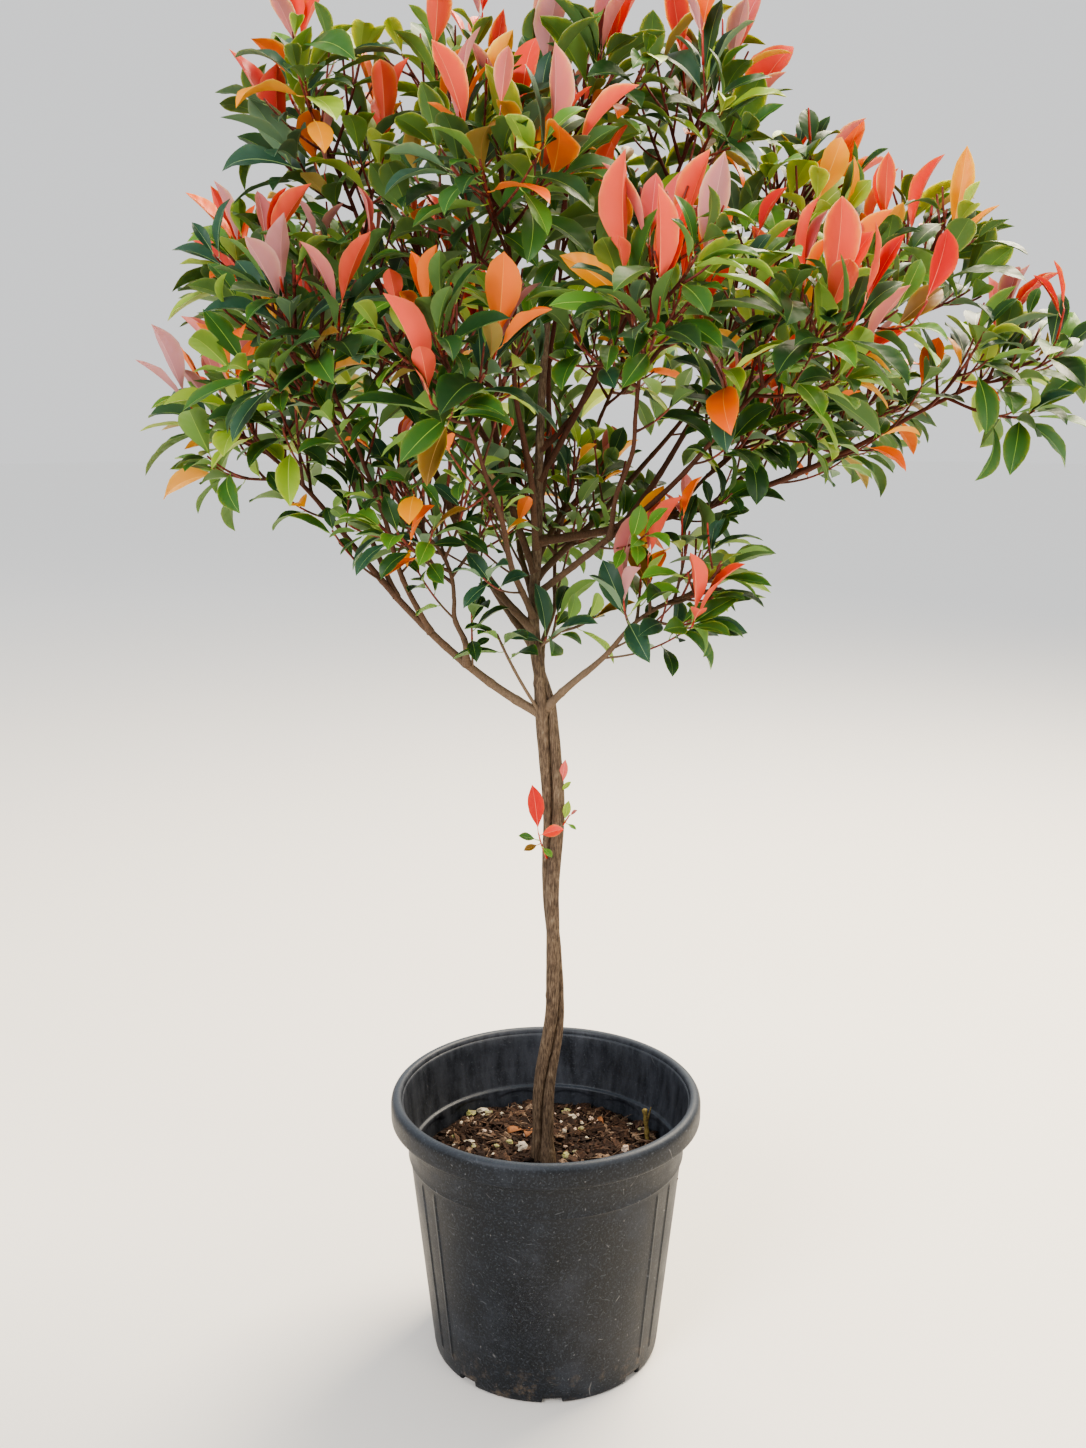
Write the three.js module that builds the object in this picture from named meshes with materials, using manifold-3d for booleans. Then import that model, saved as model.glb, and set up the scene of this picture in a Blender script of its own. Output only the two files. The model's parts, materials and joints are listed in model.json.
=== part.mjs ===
// Red-tipped garden shrub trained as a half standard: two stems twisted into one trunk,
// a broad open crown of boughs and leafy twigs, and a black nursery pot of bark mulch.
// Millimetres, +Z up. The origin is the centre of the pot's flat underside, +X is the side
// with the long bough and +Y is the back.

import * as THREE from 'three';
import { mergeVertices } from 'three/addons/utils/BufferGeometryUtils.js';
import Module from 'manifold-3d';

const wasm = await Module();
wasm.setup();

const up = new THREE.Vector3(0, 0, 1);
const radians = THREE.MathUtils.degToRad;

function vector(values) {
  return new THREE.Vector3(...values);
}

// Driving dimensions

const gap = 0.3; // clearance between neighbouring solids
const smoothing = 0.02; // how far a joined skin may stray as slivers are dropped

const pot = {
  rimRadius: 165,
  height: 292,
  lipHeight: 25,
  lipThickness: 3,
  mouthRadius: 152.8,
  bandTop: 150.6,
  bandFoot: 147.2,
  bandFootHeight: 225,
  baseRadius: 123,
  baseChamfer: 4,
  wallTopRadius: 145.6,
  wall: 2.2,
  floor: 2.6,
  floorBevel: 3,
  ledge: 2,
  sides: 32,
};

const drain = { count: 8, firstAngle: -87, width: 21, height: 7.5, length: 26 };

const mulch = { level: 208, edgeDrop: 4, mound: 2.5, moundRadius: 70, flatRadius: 17 };

const trunk = {
  // height above the underside, lean to the right, lean to the back
  line: [
    [mulch.level + gap, -3, 0],
    [290, -2, 2],
    [375, 9, 0],
    [455, 8, -3],
    [520, 5, 0],
    [600, 8, 3],
    [660, 4, 0],
    [712, -1, 0],
    [786, -12, 2],
    [870, -9, 6],
    [1000, -5, 0],
    [1110, 4, -8],
    [1185, 16, -14],
  ],
  strandRadius: 7,
  strandOffset: 4.6,
  forkHeight: 712,
  mergeHeight: 745,
  twistStart: 290,
  twistPitch: 720,
  leaderRadius: 6.2,
  tipRadius: 2.3,
  flare: 0.32,
  flareHeight: 20,
  sides: 10,
  stations: 28,
};

const boughShape = {
  sides: 5,
  segments: 5,
  crook: 4.5, // sideways, in millimetres
  footLever: 0.36, // of the span, along the way it leaves
  tipLever: 0.3,
  tipRise: 0.25,
  entry: 0.82, // of the way out from the centre of the mass
  mostSpan: 0.8,
};

const stemShape = {
  sides: 3,
  segments: 4,
  radii: [3.3, 2.5],
  lever: 0.5,
  heart: 930, // height that the stems fan out from
  rise: 0.5,
  reach: 0.42, // of the half widths of the mass
};

const shootShape = { radii: [2.6, 2.4], lever: 0.6, lift: 0.2, crestDrop: 4 };

const twigShape = { radius: 1.5, joint: 4, bend: 0.55, end: 0.94, lift: 0.26 };

// shares of the leaf's length
const leafShape = { width: 0.46, widest: 0.52, thickness: 0.02, arch: 0.05, droop: 0.04, faceUp: 0.8 };

const growth = {
  twigs: 6,
  leafLength: 108,
  turn: 137.5,
  turnSpread: 30,
  firstTwig: 0.14, // share of the stem
  lastTwig: 0.93,
  baseAngle: 66,
  tipAngle: 30,
  angleSpread: 16,
  twigRise: 0.2,
  leafRoom: 0.66, // of the leaf length, kept free beyond the twig
  shortest: 0.28, // twig, of the leaf length
  leastReach: 0.86,
  shorter: [1, 0.75, 0.5], // a twig that meets something is tried shorter
  joints: [0.6, 1],
  leafTilt: 52,
  tipTilt: 24,
  tiltSpread: 12,
  spread: 0.2, // of the leaf length, dealt out at random
  clearance: 1.2, // from any limb
  bladeClearance: 5.2,
  touching: 1e-3, // cubic millimetres shared by two pieces that meet
  // a leaf that meets something is tried smaller and swung aside
  tries: [
    [1, 0], [1, 28], [1, -28],
    [0.82, 0], [0.82, 35], [0.82, -35],
    [0.64, 0], [0.64, 40], [0.64, -40],
  ],
};

// Each row is one leafy mass of the crown with the bough that carries it: its name, what the
// bough leaves, the height on the trunk or the share of the parent bough where it does, the
// angle above level there, the bough's radii at foot and tip, the centre of the mass and the
// half widths of the space that it keeps to.
const crown = [
  ['left_low', 'trunk', 700, 27, [4.9, 2.3], [-283, -23, 975], [126, 134, 112]],
  ['left_mid', 'left_low', 0.62, 62, [2.9, 1.9], [-246, 45, 1108], [131, 134, 112]],
  ['left_front', 'left_low', 0.46, 52, [2.9, 1.9], [-196, -136, 1052], [132, 126, 120]],
  ['left_back', 'trunk', 765, 45, [4.0, 2.1], [-180, 168, 1050], [136, 134, 130]],
  ['left_top', 'trunk', 788, 42, [4.2, 2.1], [-206, -9, 1237], [114, 132, 131]],
  ['top_left', 'trunk', 845, 66, [3.8, 2.0], [-91, 30, 1263], [106, 134, 114]],
  ['top_mid', 'tip', 1, 80, [2.2, 2.2], [35, -20, 1262], [107, 134, 112]],
  ['top_right', 'trunk', 935, 58, [3.2, 2.0], [146, 11, 1262], [106, 134, 109]],
  ['top_back', 'trunk', 895, 55, [3.4, 2.0], [20, 184, 1200], [134, 129, 124]],
  ['top_front', 'trunk', 868, 50, [3.3, 2.0], [-38, -160, 1178], [124, 122, 119]],
  ['right_top', 'right_far', 0.2, 46, [3.2, 1.9], [234, 35, 1178], [116, 134, 106]],
  ['right_far', 'trunk', 876, 6, [4.4, 2.0], [436, 0, 1024], [108, 124, 108]],
  ['right_mid', 'right_far', 0.45, 45, [2.8, 1.9], [345, -5, 1122], [116, 128, 104]],
  ['right_low', 'right_far', 0.66, 10, [2.4, 1.7], [318, 80, 985], [120, 120, 84]],
  ['right_back', 'trunk', 838, 38, [3.6, 2.0], [215, 182, 1066], [134, 124, 122]],
  ['right_front', 'trunk', 822, 34, [3.6, 2.0], [222, -150, 1050], [134, 124, 119]],
  ['front_right', 'right_front', 0.4, 45, [2.6, 1.8], [88, -210, 1082], [117, 112, 122]],
  ['front_left', 'trunk', 800, 44, [3.4, 1.9], [-76, -206, 1030], [114, 112, 114]],
  ['back_left', 'trunk', 812, 46, [3.4, 1.9], [-60, 216, 1040], [119, 114, 119]],
  ['back_right', 'trunk', 855, 40, [3.2, 1.9], [86, 240, 1046], [114, 106, 116]],
  ['inner_left', 'left_low', 0.3, 58, [3.6, 2.0], [-102, -60, 900], [106, 104, 97]],
  ['inner_back', 'trunk', 742, 42, [3.4, 1.9], [20, 98, 906], [110, 104, 99]],
  ['right_cluster', 'trunk', 708, 46, [4.4, 2.2], [124, -62, 842], [106, 104, 90]],
  ['mid_left', 'top_left', 0.34, 40, [3.0, 1.9], [-118, 50, 1130], [105, 110, 105]],
  ['mid_right', 'trunk', 965, 30, [3.0, 1.9], [118, 50, 1140], [105, 110, 100]],
  ['right_inner', 'right_far', 0.3, 20, [2.6, 1.8], [205, -10, 978], [106, 106, 84]],
].map(([name, from, at, climb, thick, centre, radii]) => (
  { name, from, at, climb, thick, centre: vector(centre), radii: vector(radii) }
));

// Short shoots that grow straight out of the trunk's side: name, height, lean to the right,
// lean to the back, rise, length, half widths of the space, leaf length, number of twigs
const shoots = [
  ['fork_tuft', 770, 5, -1, 0.55, 42, [56, 46, 44], 52, 4],
  ['low_twig', 694, -0.75, -0.5, 1.3, 96, [46, 40, 46], 46, 4],
  ['trunk_sprout', 596, -0.4, -1, 0.9, 27, [36, 30, 40], 34, 3],
].map(([name, height, right, back, rise, length, radii, leaf, twigs]) => (
  { name, height, lean: vector([right, back, 0]), rise, length, radii: vector(radii), leaf, twigs }
));

// Seeded dice, one stream for each mass

function dice(seed) {
  let state = seed >>> 0;
  return () => {
    state = (state + 0x6d2b79f5) >>> 0;
    let mixed = Math.imul(state ^ (state >>> 15), state | 1);
    mixed ^= mixed + Math.imul(mixed ^ (mixed >>> 7), mixed | 61);
    return ((mixed ^ (mixed >>> 14)) >>> 0) / 4294967296;
  };
}

function along(from, direction, distance) {
  return from.clone().addScaledVector(direction, distance);
}

function blend(low, high, share) {
  return low + (high - low) * share;
}

// A unit vector at right angles to the direction, level where it can be
function sideOf(direction) {
  const side = new THREE.Vector3().crossVectors(direction, up);
  return side.lengthSq() < 1e-6 ? new THREE.Vector3(1, 0, 0) : side.normalize();
}

// The direction turned away by tilt degrees, towards the clock angle spin
function turned(direction, tilt, spin) {
  const side = sideOf(direction);
  const front = new THREE.Vector3().crossVectors(side, direction);
  const outward = side.multiplyScalar(Math.cos(radians(spin)));
  outward.addScaledVector(front, Math.sin(radians(spin)));
  return direction.clone().multiplyScalar(Math.cos(radians(tilt)))
    .addScaledVector(outward, Math.sin(radians(tilt))).normalize();
}

// Solids

function meshOf(solid) {
  const { vertProperties, triVerts } = solid.getMesh();
  const geometry = new THREE.BufferGeometry();
  geometry.setAttribute('position', new THREE.BufferAttribute(vertProperties, 3));
  geometry.setIndex(new THREE.BufferAttribute(triVerts, 1));
  return geometry;
}

function solidFrom(positions, triangles) {
  return new wasm.Manifold(new wasm.Mesh({
    numProp: 3,
    vertProperties: new Float32Array(positions),
    triVerts: new Uint32Array(triangles),
  }));
}

function solidOf(geometry) {
  const bare = geometry.clone();
  bare.deleteAttribute('normal');
  bare.deleteAttribute('uv');
  const merged = mergeVertices(bare, 1e-3);
  return solidFrom(merged.getAttribute('position').array, merged.getIndex().array);
}

// The largest body, without loose scraps or the skin of a sealed hollow
function largest(solid) {
  const bodies = solid.decompose();
  return bodies.reduce((best, body) => (body.volume() > best.volume() ? body : best));
}

// A closed limb through the points: radiusAt(station, angle) shapes its section, and
// footWay is the direction that its foot is cut square to
function sweep(points, sides, radiusAt, footWay = points[1].clone().sub(points[0]).normalize()) {
  const positions = [];
  const triangles = [];
  const last = points.length - 1;
  let side = sideOf(footWay);
  points.forEach((point, station) => {
    const after = points[Math.min(station + 1, last)];
    const tangent = station === 0 ? footWay : after.clone().sub(points[station - 1]).normalize();
    side = side.addScaledVector(tangent, -side.dot(tangent)).normalize();
    const front = new THREE.Vector3().crossVectors(tangent, side);
    for (let step = 0; step < sides; step += 1) {
      const angle = (2 * Math.PI * step) / sides;
      const radius = radiusAt(station, angle);
      const corner = along(point, side, radius * Math.cos(angle));
      corner.addScaledVector(front, radius * Math.sin(angle));
      positions.push(...corner.toArray());
    }
  });
  for (let station = 0; station < last; station += 1) {
    for (let step = 0; step < sides; step += 1) {
      const next = (step + 1) % sides;
      const [a, b] = [station * sides + step, station * sides + next];
      triangles.push(a, b, b + sides, a, b + sides, a + sides);
    }
  }
  for (let step = 1; step < sides - 1; step += 1) {
    const top = last * sides;
    triangles.push(0, step + 1, step, top, top + step, top + step + 1);
  }
  return solidFrom(positions, triangles);
}

function taperedLimb(points, shape, foot, tip, extra = 0) {
  const last = points.length - 1;
  return sweep(points, shape.sides, (station) => blend(foot, tip, station / last) + extra);
}

// Pot

function potSection() {
  const p = pot;
  const lipFoot = p.height - p.lipHeight;
  const skirt = p.rimRadius - p.lipThickness;
  const inBand = p.bandFoot - p.wall;
  const inWall = p.wallTopRadius - p.wall - p.ledge;
  const floorRadius = p.baseRadius - p.wall;
  return [
    [0, 0], [p.baseRadius - p.baseChamfer, 0], [p.baseRadius, p.baseChamfer],
    [p.wallTopRadius, p.bandFootHeight], [p.bandFoot, p.bandFootHeight + 1.5],
    [p.bandTop + 0.6, p.height - 5], [skirt, p.height - 5], [skirt, lipFoot],
    [p.rimRadius, lipFoot + 2], [p.rimRadius, p.height - 7], [p.rimRadius - 5, p.height],
    [p.mouthRadius + 1.6, p.height - 1.2], [p.mouthRadius, p.height - 5],
    [inBand, p.bandFootHeight + 1], [inWall, p.bandFootHeight - 1],
    [floorRadius, p.baseChamfer + 2], [floorRadius - p.floorBevel, p.floor], [0, p.floor],
  ];
}

// The space inside the wall, from the floor up, at a height above the floor's bevel
function innerRadius(height) {
  const low = pot.baseChamfer + 2;
  const share = (height - low) / (pot.bandFootHeight - 2 - low);
  return blend(pot.baseRadius - pot.wall, pot.wallTopRadius - pot.wall - pot.ledge, share);
}

// The drainage channels pressed into the foot, grown all round by a wall or a clearance
function drainChannels(grow) {
  const blocks = [];
  for (let index = 0; index < drain.count; index += 1) {
    const sizes = [drain.width, drain.length * 2, drain.height * 2];
    const block = new THREE.BoxGeometry(...sizes.map((size) => size + 2 * grow));
    block.translate(0, -pot.baseRadius, 0);
    block.rotateZ(radians(drain.firstAngle + (360 / drain.count) * index));
    blocks.push(solidOf(block));
  }
  return wasm.Manifold.union(blocks);
}

function lathed(profile) {
  const points = profile.map(([radius, height]) => new THREE.Vector2(radius, height));
  const geometry = new THREE.LatheGeometry(points, pot.sides);
  geometry.rotateX(Math.PI / 2);
  return solidOf(geometry);
}

function buildPot() {
  const body = lathed(potSection());
  const wallTop = pot.bandFootHeight - 2;
  const filling = lathed([
    [0, 0], [pot.baseRadius - pot.wall / 2, 0.1],
    [innerRadius(wallTop) + pot.wall / 2, wallTop], [0, wallTop],
  ]);
  const arches = drainChannels(pot.wall).intersect(filling);
  return largest(body.add(arches).subtract(drainChannels(0)));
}

function buildMulch() {
  const edge = mulch.level - mulch.edgeDrop;
  const low = pot.baseChamfer + 2 + gap;
  const profile = [
    [0, pot.floor + gap], [innerRadius(low) - pot.floorBevel - 2 * gap, pot.floor + gap],
    [innerRadius(low) - gap, low],
    [innerRadius(edge) - gap, edge], [mulch.moundRadius, mulch.level + mulch.mound],
    [mulch.flatRadius, mulch.level], [0, mulch.level],
  ];
  return largest(lathed(profile).subtract(drainChannels(pot.wall + gap)));
}

// Trunk

const trunkCurve = new THREE.CatmullRomCurve3(
  trunk.line.map(([height, right, back]) => new THREE.Vector3(right, back, height)),
);
const trunkPoints = trunkCurve.getPoints(trunk.stations);
const trunkTip = trunkPoints[trunk.stations];

// How far the height has risen from low to high, as a share
function risen(height, low, high) {
  return THREE.MathUtils.clamp((height - low) / (high - low), 0, 1);
}

function trunkRadius(height) {
  const share = risen(height, trunk.mergeHeight, trunkTip.z);
  return blend(trunk.leaderRadius, trunk.tipRadius, share);
}

// Two round strands side by side, turning about each other up to the fork
function trunkSection(point, angle) {
  const merged = risen(point.z, trunk.forkHeight, trunk.mergeHeight);
  const offset = trunk.strandOffset * (1 - merged);
  const strand = blend(trunk.strandRadius, trunkRadius(point.z), merged);
  const turn = angle - (2 * Math.PI * (point.z - trunk.twistStart)) / trunk.twistPitch;
  const inStrand = Math.sqrt(strand ** 2 - (offset * Math.sin(turn)) ** 2);
  const radius = offset * Math.abs(Math.cos(turn)) + inStrand;
  const above = point.z - mulch.level;
  return radius * (1 + trunk.flare * Math.exp(-((above / trunk.flareHeight) ** 2)));
}

function buildTrunk(extra) {
  const radiusAt = (station, angle) => trunkSection(trunkPoints[station], angle) + extra;
  return sweep(trunkPoints, trunk.sides, radiusAt, up);
}

// The trunk with its clearance, which cuts whatever stands on it
const fatTrunk = buildTrunk(gap + 0.03);

function trunkPointAt(height) {
  const above = trunkPoints.findIndex((point) => point.z > height);
  const [low, high] = [trunkPoints[above - 1], trunkPoints[above]];
  return low.clone().lerp(high, (height - low.z) / (high.z - low.z));
}

// Boughs and the stems that go on from them

function pathPoint(path, share) {
  const place = share * (path.length - 1);
  const index = Math.min(Math.floor(place), path.length - 2);
  return path[index].clone().lerp(path[index + 1], place - index);
}

// Where the line from the start to the mass's centre passes into its space, a little inside
function entryPoint(start, mass) {
  const away = start.clone().sub(mass.centre);
  const share = boughShape.entry / away.clone().divide(mass.radii).length();
  return along(mass.centre, away, Math.min(share, boughShape.mostSpan));
}

function boughPath(start, end, arrival, climb, roll) {
  const span = end.distanceTo(start);
  const level = end.clone().sub(start).setZ(0).normalize();
  const leave = level.clone().multiplyScalar(Math.cos(radians(climb)));
  leave.addScaledVector(up, Math.sin(radians(climb)));
  const footLever = along(start, leave, span * boughShape.footLever);
  const tipLever = along(end, arrival, -span * boughShape.tipLever);
  const curve = new THREE.CubicBezierCurve3(start, footLever, tipLever, end);
  const side = sideOf(level);
  const sway = boughShape.crook * (roll() < 0.5 ? -1 : 1);
  return curve.getPoints(boughShape.segments).map((point, index) => {
    const share = index / boughShape.segments;
    return along(point, side, sway * Math.sin(2 * Math.PI * share) * Math.sin(Math.PI * share));
  });
}

function startOf(row, laid) {
  if (row.from === 'trunk') return trunkPointAt(row.at);
  return pathPoint(laid.find(({ name }) => name === row.from).path, row.at);
}

function layOut(row, index, laid) {
  const roll = dice(1000 + 41 * index);
  const fromTip = row.from === 'tip';
  const start = fromTip ? trunkTip : startOf(row, laid);
  const entry = fromTip ? trunkTip : entryPoint(start, row);
  const arrival = row.centre.clone().sub(start).normalize();
  arrival.addScaledVector(up, boughShape.tipRise).normalize();
  const path = fromTip ? null : boughPath(start, entry, arrival, row.climb, roll);
  const beforeTip = fromTip ? trunkPoints[trunk.stations - 1] : path[boughShape.segments - 1];
  const tipWay = entry.clone().sub(beforeTip).normalize();
  const outward = row.centre.clone().sub(new THREE.Vector3(0, 0, stemShape.heart)).normalize();
  outward.addScaledVector(up, stemShape.rise).normalize();
  const crest = along(row.centre, outward.multiply(row.radii), stemShape.reach);
  const foot = along(entry, tipWay, gap);
  const lever = along(foot, tipWay, crest.distanceTo(foot) * stemShape.lever);
  const stem = new THREE.QuadraticBezierCurve3(foot, lever, crest);
  const { twigs, leafLength: leaf } = growth;
  return { ...row, roll, path, stem, stemRadii: stemShape.radii, leaf, twigs };
}

function layOutShoot(row, index) {
  const start = trunkPointAt(row.height);
  const heading = row.lean.clone().normalize().addScaledVector(up, row.rise).normalize();
  const lever = along(start, heading, row.length * shootShape.lever);
  const crest = along(along(start, heading, row.length), up, row.length * shootShape.lift);
  const stem = new THREE.QuadraticBezierCurve3(start, lever, crest);
  const centre = along(crest, up, -shootShape.crestDrop);
  return { ...row, roll: dice(5000 + 37 * index), centre, path: null, stem, stemRadii: shootShape.radii };
}

// How many boughs lie between the row's bough and the trunk
function rank(row) {
  const parent = crown.find((other) => other.name === row.from);
  return parent ? 1 + rank(parent) : 0;
}

const order = [...crown].sort((a, b) => rank(a) - rank(b));
const masses = [];
order.forEach((row) => masses.push(layOut(row, crown.indexOf(row), masses)));
shoots.forEach((row, index) => masses.push(layOutShoot(row, index)));

// Each mass keeps to its own space

const limbs = [];

function addLimb(owner, points, radiusAt) {
  for (let index = 1; index < points.length; index += 1) {
    const line = new THREE.Line3(points[index - 1], points[index]);
    limbs.push({ owner, line, radius: radiusAt(index - 1) });
  }
}

addLimb('trunk', trunkPoints, (station) => {
  const widths = [0, Math.PI / 2].map((angle) => trunkSection(trunkPoints[station], angle));
  return Math.max(...widths);
});
masses.forEach((mass) => {
  if (mass.path) addLimb('bough', mass.path, (index) => blend(...mass.thick, index / boughShape.segments));
  addLimb(mass.name, mass.stem.getPoints(stemShape.segments), () => mass.stemRadii[0]);
});

const nearest = new THREE.Vector3();

function clearOfLimbs(point, mass, spare) {
  return limbs.every(({ owner, line, radius }) => {
    if (owner === mass.name) return true;
    line.closestPointToPoint(point, true, nearest);
    return nearest.distanceTo(point) > radius + spare;
  });
}

function reachShare(point, mass) {
  return point.clone().sub(mass.centre).divide(mass.radii).length();
}

// The squared distance to a mass less its mean radius squared: the lowest one owns the point
function claim(point, mass) {
  const radius = (mass.radii.x + mass.radii.y + mass.radii.z) / 3;
  return point.distanceToSquared(mass.centre) - radius ** 2;
}

function insideSpace(point, mass) {
  if (reachShare(point, mass) > 1) return false;
  const own = claim(point, mass);
  return masses.every((other) => other === mass
    || claim(point, other) - own > 2 * gap * other.centre.distanceTo(mass.centre));
}

// Twigs and leaves

function reachAlong(from, direction, mass) {
  const scaledFrom = from.clone().sub(mass.centre).divide(mass.radii);
  const scaledWay = direction.clone().divide(mass.radii);
  const a = scaledWay.lengthSq();
  const b = scaledFrom.dot(scaledWay);
  const c = scaledFrom.lengthSq() - 1;
  return (-b + Math.sqrt(Math.max(b * b - a * c, 0))) / a;
}

function twigCurve(start, heading, length) {
  const middle = along(start, heading, length * twigShape.bend);
  const end = along(along(start, heading, length * twigShape.end), up, length * twigShape.lift);
  return new THREE.QuadraticBezierCurve3(start, middle, end);
}

function twigFits(curve, mass) {
  return curve.getPoints(6).slice(2).every((point) => insideSpace(point, mass)
    && clearOfLimbs(point, mass, twigShape.radius + growth.clearance));
}

// Which corner of the base lies nearest below the blade, for its keel
function keelCorner(base, root, normal, across) {
  const turns = base.map((corner) => {
    const away = corner.clone().sub(root);
    return Math.abs(Math.atan2(away.dot(normal), away.dot(across)) + Math.PI / 2);
  });
  return turns.indexOf(Math.min(...turns));
}

// A blade on a base of three corners: both edges and the keel at its widest, and the tip
function bladeCorners(base, heading, shootWay, length) {
  const root = base[0].clone().add(base[1]).add(base[2]).divideScalar(3);
  const normal = along(shootWay, up, leafShape.faceUp);
  normal.addScaledVector(heading, -normal.dot(heading)).normalize();
  const across = new THREE.Vector3().crossVectors(normal, heading);
  const middle = along(along(root, heading, length * leafShape.widest), normal, length * leafShape.arch);
  const halfWidth = (length * leafShape.width) / 2;
  const edges = [
    along(middle, across, halfWidth),
    along(middle, across, -halfWidth),
    along(middle, normal, -length * leafShape.thickness),
  ];
  // in step with the base's corners, which run anticlockwise seen from the tip
  const keel = keelCorner(base, root, normal, across);
  const ring = [0, 1, 2].map((i) => edges[(i + 5 - keel) % 3]);
  const tip = along(along(root, heading, length), normal, -length * leafShape.droop);
  return { root, middle, ring, tip };
}

// Points spread over the blade, dense enough to find any limb that passes through it
function bladePoints({ root, middle, ring, tip }) {
  const points = [];
  const steps = 10;
  for (let step = 1; step <= steps; step += 1) {
    const share = step / steps;
    const within = share < leafShape.widest;
    const width = within ? share / leafShape.widest : (1 - share) / (1 - leafShape.widest);
    const onRib = (within ? root : tip).clone().lerp(middle, width);
    points.push(onRib);
    ring.forEach((edge) => {
      const outward = edge.clone().sub(middle);
      points.push(along(onRib, outward, width / 2), along(onRib, outward, width));
    });
  }
  return points;
}

function bladeFits(blade, mass) {
  if (![...blade.ring, blade.tip].every((point) => insideSpace(point, mass))) return false;
  return bladePoints(blade).every((point) => clearOfLimbs(point, mass, growth.bladeClearance));
}

function skinOf(corners, faces) {
  return solidFrom(corners.flatMap((corner) => corner.toArray()), faces);
}

function bladeSolid(base, { ring, tip }) {
  return skinOf([...base, ...ring, tip], [0, 2, 1, ...bladeFaces([0, 1, 2], [3, 4, 5], 6)]);
}

function bladeFaces(base, ring, tip) {
  return [0, 1, 2].flatMap((i) => {
    const next = (i + 1) % 3;
    return [base[i], base[next], ring[next], base[i], ring[next], ring[i], ring[i], ring[next], tip];
  });
}

function boxesMeet(one, other) {
  const [a, b] = [one.boundingBox(), other.boundingBox()];
  return [0, 1, 2].every((axis) => a.min[axis] < b.max[axis] && b.min[axis] < a.max[axis]);
}

function meets(solid, others) {
  const shared = (other) => solid.intersect(other).volume();
  return others.some((other) => boxesMeet(solid, other) && shared(other) > growth.touching);
}

// A three-sided twig in the shape of its curve, with a short joint before each set of leaves
function bareTwig(curve, spin) {
  const joint = twigShape.joint / curve.getLength();
  const stops = [0, ...growth.joints.flatMap((share) => [share - joint, share])];
  const corners = [];
  let side = turned(curve.getTangent(0), 90, spin);
  stops.forEach((share) => {
    const tangent = curve.getTangent(share);
    side = side.addScaledVector(tangent, -side.dot(tangent)).normalize();
    const front = new THREE.Vector3().crossVectors(tangent, side);
    for (let step = 0; step < 3; step += 1) {
      const angle = (2 * Math.PI * step) / 3;
      const corner = along(curve.getPoint(share), side, twigShape.radius * Math.cos(angle));
      corners.push(along(corner, front, twigShape.radius * Math.sin(angle)));
    }
  });
  const faces = [0, 2, 1];
  const bearers = []; // the faces that leaves can grow out of
  for (let stop = 1; stop < stops.length; stop += 1) {
    for (let step = 0; step < 3; step += 1) {
      const [a, b] = [(stop - 1) * 3 + step, (stop - 1) * 3 + ((step + 1) % 3)];
      faces.push(a, b + 3, a + 3);
      if (stop % 2 === 0) bearers.push({ face: [a, b, b + 3], share: stops[stop], tilt: growth.leafTilt });
      else faces.push(a, b, b + 3);
    }
  }
  const end = corners.length - 3;
  bearers.push({ face: [end, end + 1, end + 2], share: 1, tilt: growth.tipTilt });
  return { corners, faces, bearers };
}

// The leaf that grows out of the three corners, or nothing where it finds no room
function fittingBlade(base, shootWay, tilt, spin, mass, around) {
  const length = mass.leaf * (1 + growth.spread * (mass.roll() - 0.5) * 2);
  const lean = radians(tilt + growth.tiltSpread * (mass.roll() - 0.5));
  const level = new THREE.Plane().setFromCoplanarPoints(...base).normal;
  level.addScaledVector(shootWay, -level.dot(shootWay));
  if (level.length() < 0.1) level.copy(turned(shootWay, 90, spin + 60));
  level.normalize();
  for (const [size, swing] of growth.tries) {
    const aside = level.clone().applyAxisAngle(shootWay, radians(swing));
    const heading = shootWay.clone().multiplyScalar(Math.cos(lean)).addScaledVector(aside, Math.sin(lean));
    const blade = bladeCorners(base, heading, shootWay, length * size);
    const solid = bladeSolid(base, blade);
    if (bladeFits(blade, mass) && !meets(solid, around)) return { ...blade, solid };
  }
  return null;
}

// A twig whose faces carry the leaves, so that twig and leaves are a single skin
function growSprig(curve, spin, mass, stem, sprigs) {
  const { corners, faces, bearers } = bareTwig(curve, spin);
  const bare = skinOf(corners, [...faces, ...bearers.flatMap(({ face }) => face)]);
  if (meets(bare, sprigs)) return null;
  const around = [stem, ...sprigs, bare];
  bearers.reverse().forEach(({ face, share, tilt }) => {
    const base = face.map((index) => corners[index]);
    const blade = fittingBlade(base, curve.getTangent(share), tilt, spin, mass, around);
    if (!blade) {
      faces.push(...face);
      return;
    }
    const first = corners.length;
    corners.push(...blade.ring, blade.tip);
    faces.push(...bladeFaces(face, [first, first + 1, first + 2], first + 3));
    around.push(blade.solid);
  });
  return skinOf(corners, faces);
}

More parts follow.
